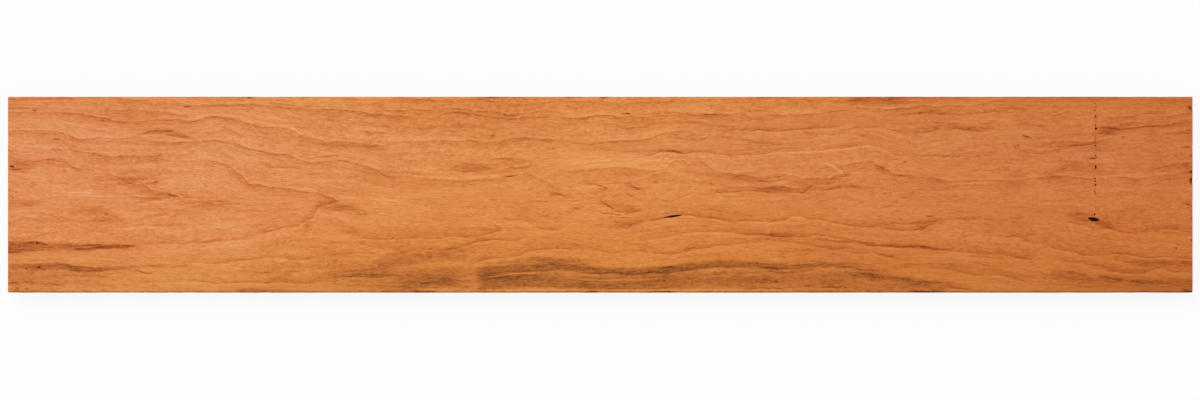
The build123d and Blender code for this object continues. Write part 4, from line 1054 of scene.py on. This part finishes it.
# Dull patches and flecks are soft ovals at the show face. The patches' outlines are torn along the grain.
TORN_ALONG = 34.0
TORN_ACROSS = 9.0
PATCH_DEPTH = 12.0
PATCH_PEAK = 1.5
FLECK_SPREAD = 0.8
FLECK_DEPTH = 3.0
FLECK_PEAK = 1.4
frayed_column = add(tree, "ShaderNodeMath", [x, fray_mm])
board_place = add(tree, "ShaderNodeCombineXYZ", [frayed_column, frayed, z])
curl_scaled = add(tree, "ShaderNodeVectorMath", [waver_place, cells(17, 8, 8)], operation="MULTIPLY")
curl = add(tree, "ShaderNodeTexNoise",
           {"Vector": curl_scaled, "Scale": 1.0, "Detail": 3.0, "Roughness": 0.6})
curl_along, curl_across = add(tree, "ShaderNodeSeparateColor", [curl.outputs["Color"]]).outputs[:2]
torn_along = add(tree, "ShaderNodeMath", [curl_along, TORN_ALONG, -TORN_ALONG / 2],
                 operation="MULTIPLY_ADD")
torn_across = add(tree, "ShaderNodeMath", [curl_across, TORN_ACROSS, -TORN_ACROSS / 2],
                  operation="MULTIPLY_ADD")
torn = add(tree, "ShaderNodeCombineXYZ", [torn_along, torn_across, 0.0])
torn_place = add(tree, "ShaderNodeVectorMath", [board_place, torn])
stain = None
for column, row, half_length, half_height, strength in DULL_PATCHES:
    middle = (along_mm(column), across_mm(row), THICKNESS_MM)
    size = (half_length * MM_PER_PIXEL, half_height * MM_PER_PIXEL, PATCH_DEPTH)
    local = add(tree, "ShaderNodeMapping", {"Vector": torn_place, "Location": middle, "Scale": size},
                vector_type="TEXTURE")
    oval = add(tree, "ShaderNodeTexGradient", [local], gradient_type="SPHERICAL")
    stain = add(tree, "ShaderNodeMath", [oval.outputs["Fac"], PATCH_PEAK * strength, stain or 0.0],
                operation="MULTIPLY_ADD")
fleck = None
for column, row, length, height, turn, strength in FLECKS:
    middle = (along_mm(column), across_mm(row), THICKNESS_MM)
    size = (FLECK_SPREAD * length * MM_PER_PIXEL, FLECK_SPREAD * height * MM_PER_PIXEL, FLECK_DEPTH)
    local = add(tree, "ShaderNodeMapping", {"Vector": board_place, "Location": middle, "Scale": size,
                                            "Rotation": (0, 0, radians(turn))}, vector_type="TEXTURE")
    oval = add(tree, "ShaderNodeTexGradient", [local], gradient_type="SPHERICAL")
    fleck = add(tree, "ShaderNodeMath", [oval.outputs["Fac"], FLECK_PEAK * strength, fleck or 0.0],
                operation="MULTIPLY_ADD")

# Rings under the show face's own, which only the back and the ends reach, at a cherry's yearly growth. They
# climb along the length as the log tapers, are uneven by a ring or so, and fade in over 60 square
# millimetres of squared radius inside the show face's ring.
RING_SPACING = 4.3
RINGS_ALONG = 0.0055
RINGS_UNEVEN = 1.6
RING = [(0.0, 0.05), (0.45, 0.08), (0.8, 0.25), (0.93, 0.6), (0.97, 0.55), (1.0, 0.05)]
RING_SHARE = 0.8
RING_FADE = -60.0
ring = add(tree, "ShaderNodeMath", [ring_squared], operation="SQRT")
inner = add(tree, "ShaderNodeMath", [ring, -1 / RING_SPACING, PITH_BELOW_FACE / RING_SPACING],
            operation="MULTIPLY_ADD")
taper = add(tree, "ShaderNodeMath", [x, RINGS_ALONG, inner], operation="MULTIPLY_ADD")
lumpy = add(tree, "ShaderNodeVectorMath", [in_mm, cells(130, 28, 28)], operation="MULTIPLY")
lump = add(tree, "ShaderNodeTexNoise", {"Vector": lumpy, "Scale": 1.0, "Detail": 3.0, "Roughness": 0.5})
uneven = add(tree, "ShaderNodeMath", [lump, RINGS_UNEVEN, taper], operation="MULTIPLY_ADD")
year = add(tree, "ShaderNodeMath", [uneven], operation="FRACT")
ring_shape = add(tree, "ShaderNodeFloatCurve", {"Value": year})
trace(ring_shape.mapping, 0, RING, "AUTO_CLAMPED")
inside = add(tree, "ShaderNodeMapRange", [past_face, 0.0, RING_FADE, 0.0, RING_SHARE])
inner_lines = add(tree, "ShaderNodeMath", [ring_shape, inside], operation="MULTIPLY")

# Fibre and pores: short dull threads and hairs along the grain, longer soft bands and veins, and the faint
# mottle of curly fibre. Real pores are a tenth of a millimetre wide, too fine to show in the render, so the
# threads and hairs are drawn nearly a millimetre wide. The slice sets which part of them the show face has.
CURL = 4.5
VEIN_YEARS = 5.0
VEIN = [(0.0, 0.1), (0.08, 0.22), (0.45, 0.32), (0.8, 0.45), (0.93, 0.9), (0.975, 1.0), (1.0, 0.1)]
FACE_SLICE = (0, 0, THICKNESS_MM / 2)
run_mm = add(tree, "ShaderNodeMath", [run, -WIDTH_MM], operation="MULTIPLY")
curled = add(tree, "ShaderNodeMath", [curl_across, CURL, run_mm], operation="MULTIPLY_ADD")
fibre_place = add(tree, "ShaderNodeCombineXYZ", [x, run_mm, z])
curled_place = add(tree, "ShaderNodeCombineXYZ", [x, curled, below])
fibre = {}
for name, spot, slice_at, size, detail, roughness in (
    ("band", fibre_place, None, (60, 2.6, 6), 3.0, 0.6),
    ("thread", curled_place, FACE_SLICE, (9, 0.9, 0.9), 3.0, 0.65),
    ("vein", fibre_place, None, (75, 7, 7), 3.0, 0.5),
    ("hair", curled_place, FACE_SLICE, (3.4, 0.75, 0.75), 2.0, 0.7),
    ("mottle", in_mm, None, (3, 4, 4), 3.0, 0.6),
    ("cloud", fibre_place, None, (55, 16, 16), 2.0, 0.5),
):
    scaled = add(tree, "ShaderNodeVectorMath", [spot, cells(*size), slice_at],
                 operation="MULTIPLY_ADD" if slice_at else "MULTIPLY")
    fibre[name] = add(tree, "ShaderNodeTexNoise",
                      {"Vector": scaled, "Scale": 1.0, "Detail": detail, "Roughness": roughness})
thread = fibre["thread"]
vein_many = add(tree, "ShaderNodeMath", [fibre["vein"], VEIN_YEARS], operation="MULTIPLY")
vein_year = add(tree, "ShaderNodeMath", [vein_many], operation="FRACT")
vein_shape = add(tree, "ShaderNodeFloatCurve", {"Value": vein_year})
trace(vein_shape.mapping, 0, VEIN, "AUTO_CLAMPED")

# Threads break the lines up: late wood a little, bands and patches more, and streaks the most. Each range
# is the thread's paler and darker value and what they leave of the line.
LATE_WOOD_BREAKS = (0.3, 0.7, 0.85, 1.12)
STREAK_BREAKS = (0.32, 0.68, 0.55, 1.35)
BAND_BREAKS = (0.3, 0.7, 0.8, 1.2)
BAND_PEAK = 1.6
breaks = add(tree, "ShaderNodeMapRange", [thread, *LATE_WOOD_BREAKS])
rags = add(tree, "ShaderNodeMapRange", [thread, *STREAK_BREAKS])
broken = add(tree, "ShaderNodeMath", [darknesses["late wood"], breaks], operation="MULTIPLY")
ragged = add(tree, "ShaderNodeMath", [darknesses["streaks"], rags], operation="MULTIPLY")
flaws = add(tree, "ShaderNodeMapRange", [thread, *BAND_BREAKS])
soft = add(tree, "ShaderNodeMath", [darknesses["bands"], BAND_PEAK, stain], operation="MULTIPLY_ADD")
patchy = add(tree, "ShaderNodeMath", [soft, flaws], operation="MULTIPLY")

# How much each pattern and each kind of line darkens the wood. The patterns' mean is taken off again, and
# the lines show near the show face and wherever their rings come out, fading in over 300 square
# millimetres of squared radius.
BAND_FIBRE = 0.56
TEXTURE_MEAN = 1.36
LATE_WOOD_SHARE = 0.75
STREAK_SHARE = 0.8
BAND_SHARE = 0.6
RINGS_IN = 300.0
NEAR_FACE = (-3.0, -1.5)
texture = add(tree, "ShaderNodeMath", [fibre["band"], BAND_FIBRE, -BAND_FIBRE / 2],
              operation="MULTIPLY_ADD")
for pattern, weight in (
    (thread, 0.72),
    (fibre["hair"], 1.2),
    (fibre["mottle"], 0.26),
    (fibre["cloud"], 0.4),
    (vein_shape, 0.24),
):
    texture = add(tree, "ShaderNodeMath", [pattern, weight, texture], operation="MULTIPLY_ADD")
texture = add(tree, "ShaderNodeMath", [texture, TEXTURE_MEAN], operation="SUBTRACT")
figure = add(tree, "ShaderNodeMath", [broken, LATE_WOOD_SHARE], operation="MULTIPLY")
figure = add(tree, "ShaderNodeMath", [ragged, STREAK_SHARE, figure], operation="MULTIPLY_ADD")
figure = add(tree, "ShaderNodeMath", [patchy, BAND_SHARE, figure], operation="MULTIPLY_ADD")
on_rings = add(tree, "ShaderNodeMapRange", [past_face, 0.0, RINGS_IN, 0.0, 1.0])
near_face = add(tree, "ShaderNodeMapRange", [below, *NEAR_FACE, 0.0, 1.0])
reached = add(tree, "ShaderNodeMath", [on_rings, near_face], operation="MAXIMUM")
dull = add(tree, "ShaderNodeMath", [figure, reached, texture], operation="MULTIPLY_ADD")
dull = add(tree, "ShaderNodeMath", [fleck, dull])
dull = add(tree, "ShaderNodeMath", [inner_lines, dull])

# Bark is left in the pits, and painted shade is added in them, darker the deeper they go. The pits are told
# from the arrises and the back by lying this far inside them. End grain drinks more and looks darker.
INSET = 0.7
PIT_RIM = 0.1
PIT_FLOOR = 0.45
PIT_BARK_AND_SHADE = 1.3
END_GRAIN = 0.34
FACING_END = (0.6, 0.95)
inside_length = add(tree, "ShaderNodeMath", [add(tree, "ShaderNodeMath", [x], operation="ABSOLUTE"),
                                             LENGTH_MM / 2 - INSET], operation="LESS_THAN")
inside_width = add(tree, "ShaderNodeMath", [add(tree, "ShaderNodeMath", [y], operation="ABSOLUTE"),
                                            WIDTH_MM / 2 - INSET], operation="LESS_THAN")
# Painted shade and bark in the pits: darker the deeper a point lies below the show face
sunk_bark_and_shade = add(tree, "ShaderNodeMapRange", [z, THICKNESS_MM - PIT_RIM, THICKNESS_MM - PIT_FLOOR, 0.0, PIT_BARK_AND_SHADE])
off_back = add(tree, "ShaderNodeMath", [z, INSET], operation="GREATER_THAN")
pit = add(tree, "ShaderNodeMath", [inside_length, inside_width], operation="MULTIPLY")
pit = add(tree, "ShaderNodeMath", [pit, sunk_bark_and_shade], operation="MULTIPLY")
pit = add(tree, "ShaderNodeMath", [pit, off_back], operation="MULTIPLY")
dull = add(tree, "ShaderNodeMath", [dull, pit])
end_on = add(tree, "ShaderNodeSeparateXYZ", [place["Normal"]]).outputs[0]
end_on = add(tree, "ShaderNodeMath", [end_on], operation="ABSOLUTE")
end_grain = add(tree, "ShaderNodeMapRange", [end_on, *FACING_END, 0.0, END_GRAIN])
dull = add(tree, "ShaderNodeMath", [dull, end_grain])

# Heartwood from the paler left end to the ruddier right end and deeper towards the lower edge, and what
# paler fibre and darker wood make of it: ruddy brown at the upper left, greyer to the right and below.
PALEST = -0.6
DARKEST = 1.5
HEARTWOOD = [(0.0, "#FCAE75"), (0.18, "#FCAF74"), (0.3, "#FCAE6C"), (0.4, "#FAAA65"),
             (0.55, "#F8A763"), (0.8, "#ED985A"), (1.0, "#E58E51")]
DEEPER = [(0.0, "#FFFCF2"), (0.25, "#FFFFFF"), (0.5, "#FFFBF5"), (0.7, "#FDF5E3"), (0.88, "#F8F0CF"),
          (1.0, "#F3ECC9")]
RUDDY = [(-0.6, "#F0F9FD"), (-0.3, "#EBEBEB"), (0, "#E2D2C4"), (0.3, "#D6B596"),
         (0.6, "#C29671"), (0.9, "#9A775E"), (1.2, "#674F3D"), (1.5, "#2E241B")]
BROWN = [(-0.6, "#F0F9FD"), (-0.3, "#EBEBEB"), (0, "#E2D5C5"), (0.3, "#D0BCA5"),
         (0.6, "#B7A18B"), (0.9, "#968168"), (1.2, "#65553F"), (1.5, "#2E241B")]
GREYER_RIGHT = 0.45
GREYER_BELOW = 0.55
RIGHT_FROM = (0.12, 0.4)
BELOW_FROM = (0.72, 0.88)
shade = add(tree, "ShaderNodeMapRange", [dull, PALEST, DARKEST, 0.0, 1.0])
ramps = []
for value, first, last, stops in (
    (along, 0.0, 1.0, HEARTWOOD),
    (down_plain, 0.0, 1.0, DEEPER),
    (shade, PALEST, DARKEST, RUDDY),
    (shade, PALEST, DARKEST, BROWN),
):
    ramp = add(tree, "ShaderNodeValToRGB", [value])
    while len(ramp.color_ramp.elements) < len(stops):
        ramp.color_ramp.elements.new(0.5)
    for element, (at, colour) in zip(ramp.color_ramp.elements, stops):
        element.position = (at - first) / (last - first)
        element.color = linear(colour)
    ramps.append(ramp)
heartwood, deeper, ruddy, brown = ramps
rightward = add(tree, "ShaderNodeMapRange", [along, *RIGHT_FROM, 0.0, 1.0])
lower = add(tree, "ShaderNodeMapRange", [down_plain, *BELOW_FROM, 0.0, GREYER_BELOW])
greyer = add(tree, "ShaderNodeMath", [rightward, GREYER_RIGHT, lower], operation="MULTIPLY_ADD")
tint = add(tree, "ShaderNodeMix", {6: ruddy, 7: brown, 0: greyer}, data_type="RGBA")
heart = add(tree, "ShaderNodeMix", {6: heartwood, 7: deeper, 0: 1.0}, data_type="RGBA",
            blend_type="MULTIPLY")
colour = add(tree, "ShaderNodeMix", {6: heart.outputs[2], 7: tint.outputs[2], 0: 1.0}, data_type="RGBA",
             blend_type="MULTIPLY")

# Planed and unfinished: a soft satin, rougher where the fibre is darker, with the fibre just raised.
SATIN = (0.46, 0.62)
SATIN_FROM = (-0.3, 0.3)
FIBRE_RELIEF = 0.06 * MM
rough = add(tree, "ShaderNodeMapRange", [texture, *SATIN_FROM, *SATIN])
raised = add(tree, "ShaderNodeBump", {"Strength": 0.25, "Distance": FIBRE_RELIEF, "Height": thread})
surface = add(tree, "ShaderNodeBsdfPrincipled",
              {"Base Color": colour.outputs[2], "Roughness": rough, "Normal": raised, "IOR": 1.5,
               "Specular IOR Level": 0.12})
add(tree, "ShaderNodeOutputMaterial", [surface])
board_mesh.materials.clear()
board_mesh.materials.append(wood)

# A pale floor under soft studio light: an even bright room and one wide lamp from the upper left,
# which together light the show face at a level where a colour comes out as it is written.
FLOOR_HALF = 8.0
FLOOR_GAP = 0.05 * MM
PAPER_WHITE = 0.9
ROOM_LIGHT = 0.55
LAMP_POWER = 1.65
LAMP_SPREAD = radians(40)
LAMP_TURN = (radians(-24), radians(-22), 0)
floor = bmesh.new()
bmesh.ops.create_grid(floor, x_segments=1, y_segments=1, size=FLOOR_HALF)
bmesh.ops.translate(floor, vec=(0, 0, low.z - FLOOR_GAP), verts=floor.verts)
floor_mesh = bpy.data.meshes.new("floor")
floor.to_mesh(floor_mesh)
floor_object = bpy.data.objects.new("floor", floor_mesh)
bpy.context.scene.collection.objects.link(floor_object)

# Matt white paper, which the camera sees mostly at its own white, so that only a faint shadow is left on it
paper = bpy.data.materials.new("white paper, matt")
paper.use_nodes = True
paper.node_tree.nodes.clear()
tree = paper.node_tree
matt = add(tree, "ShaderNodeBsdfDiffuse", {"Color": linear("#F4F4F4")})
white = add(tree, "ShaderNodeEmission", {"Color": linear("#FEFEFE"), "Strength": 1.0})
path = add(tree, "ShaderNodeLightPath").outputs
seen = add(tree, "ShaderNodeMath", [path["Is Camera Ray"], path["Is Glossy Ray"]])
seen = add(tree, "ShaderNodeMath", [seen, path["Is Transmission Ray"]], use_clamp=True)
share = add(tree, "ShaderNodeMath", [seen, PAPER_WHITE], operation="MULTIPLY")
mixed = add(tree, "ShaderNodeMixShader", [share, matt, white])
add(tree, "ShaderNodeOutputMaterial", [mixed])
floor_mesh.materials.append(paper)

room = bpy.data.worlds.new("studio")
room.use_nodes = True
bpy.context.scene.world = room
tree = room.node_tree
tree.nodes.clear()
lit = add(tree, "ShaderNodeBackground", {"Color": (1, 1, 1, 1), "Strength": ROOM_LIGHT})
backdrop = add(tree, "ShaderNodeBackground", {"Color": (1, 1, 1, 1), "Strength": 1.0})
path = add(tree, "ShaderNodeLightPath").outputs
mixed = add(tree, "ShaderNodeMixShader", [path["Is Camera Ray"], lit, backdrop])
add(tree, "ShaderNodeOutputWorld", [mixed])

lamp = bpy.data.lights.new("wide lamp", "SUN")
lamp.energy = LAMP_POWER
lamp.angle = LAMP_SPREAD
lamp_object = bpy.data.objects.new("wide lamp", lamp)
lamp_object.rotation_euler = LAMP_TURN
bpy.context.scene.collection.objects.link(lamp_object)

# The camera looks straight down on the board from as far off as makes the show face fill the frame.
PHOTO_COLUMNS = 1200
PHOTO_ROWS = 400
LENS = 120.0
SENSOR = 36.0
FARTHEST = 50.0
camera = bpy.data.cameras.new("camera")
camera.lens = LENS
camera.sensor_width = SENSOR
camera.sensor_fit = "HORIZONTAL"
camera.clip_end = FARTHEST
camera_object = bpy.data.objects.new("camera", camera)
distance = PHOTO_COLUMNS * MM_PER_PIXEL * MM * LENS / SENSOR
camera_object.location = (
    along_mm(PHOTO_COLUMNS / 2) * MM, across_mm(PHOTO_ROWS / 2) * MM, high.z + distance
)
bpy.context.scene.collection.objects.link(camera_object)
bpy.context.scene.camera = camera_object
bpy.context.scene.view_settings.view_transform = "Standard"
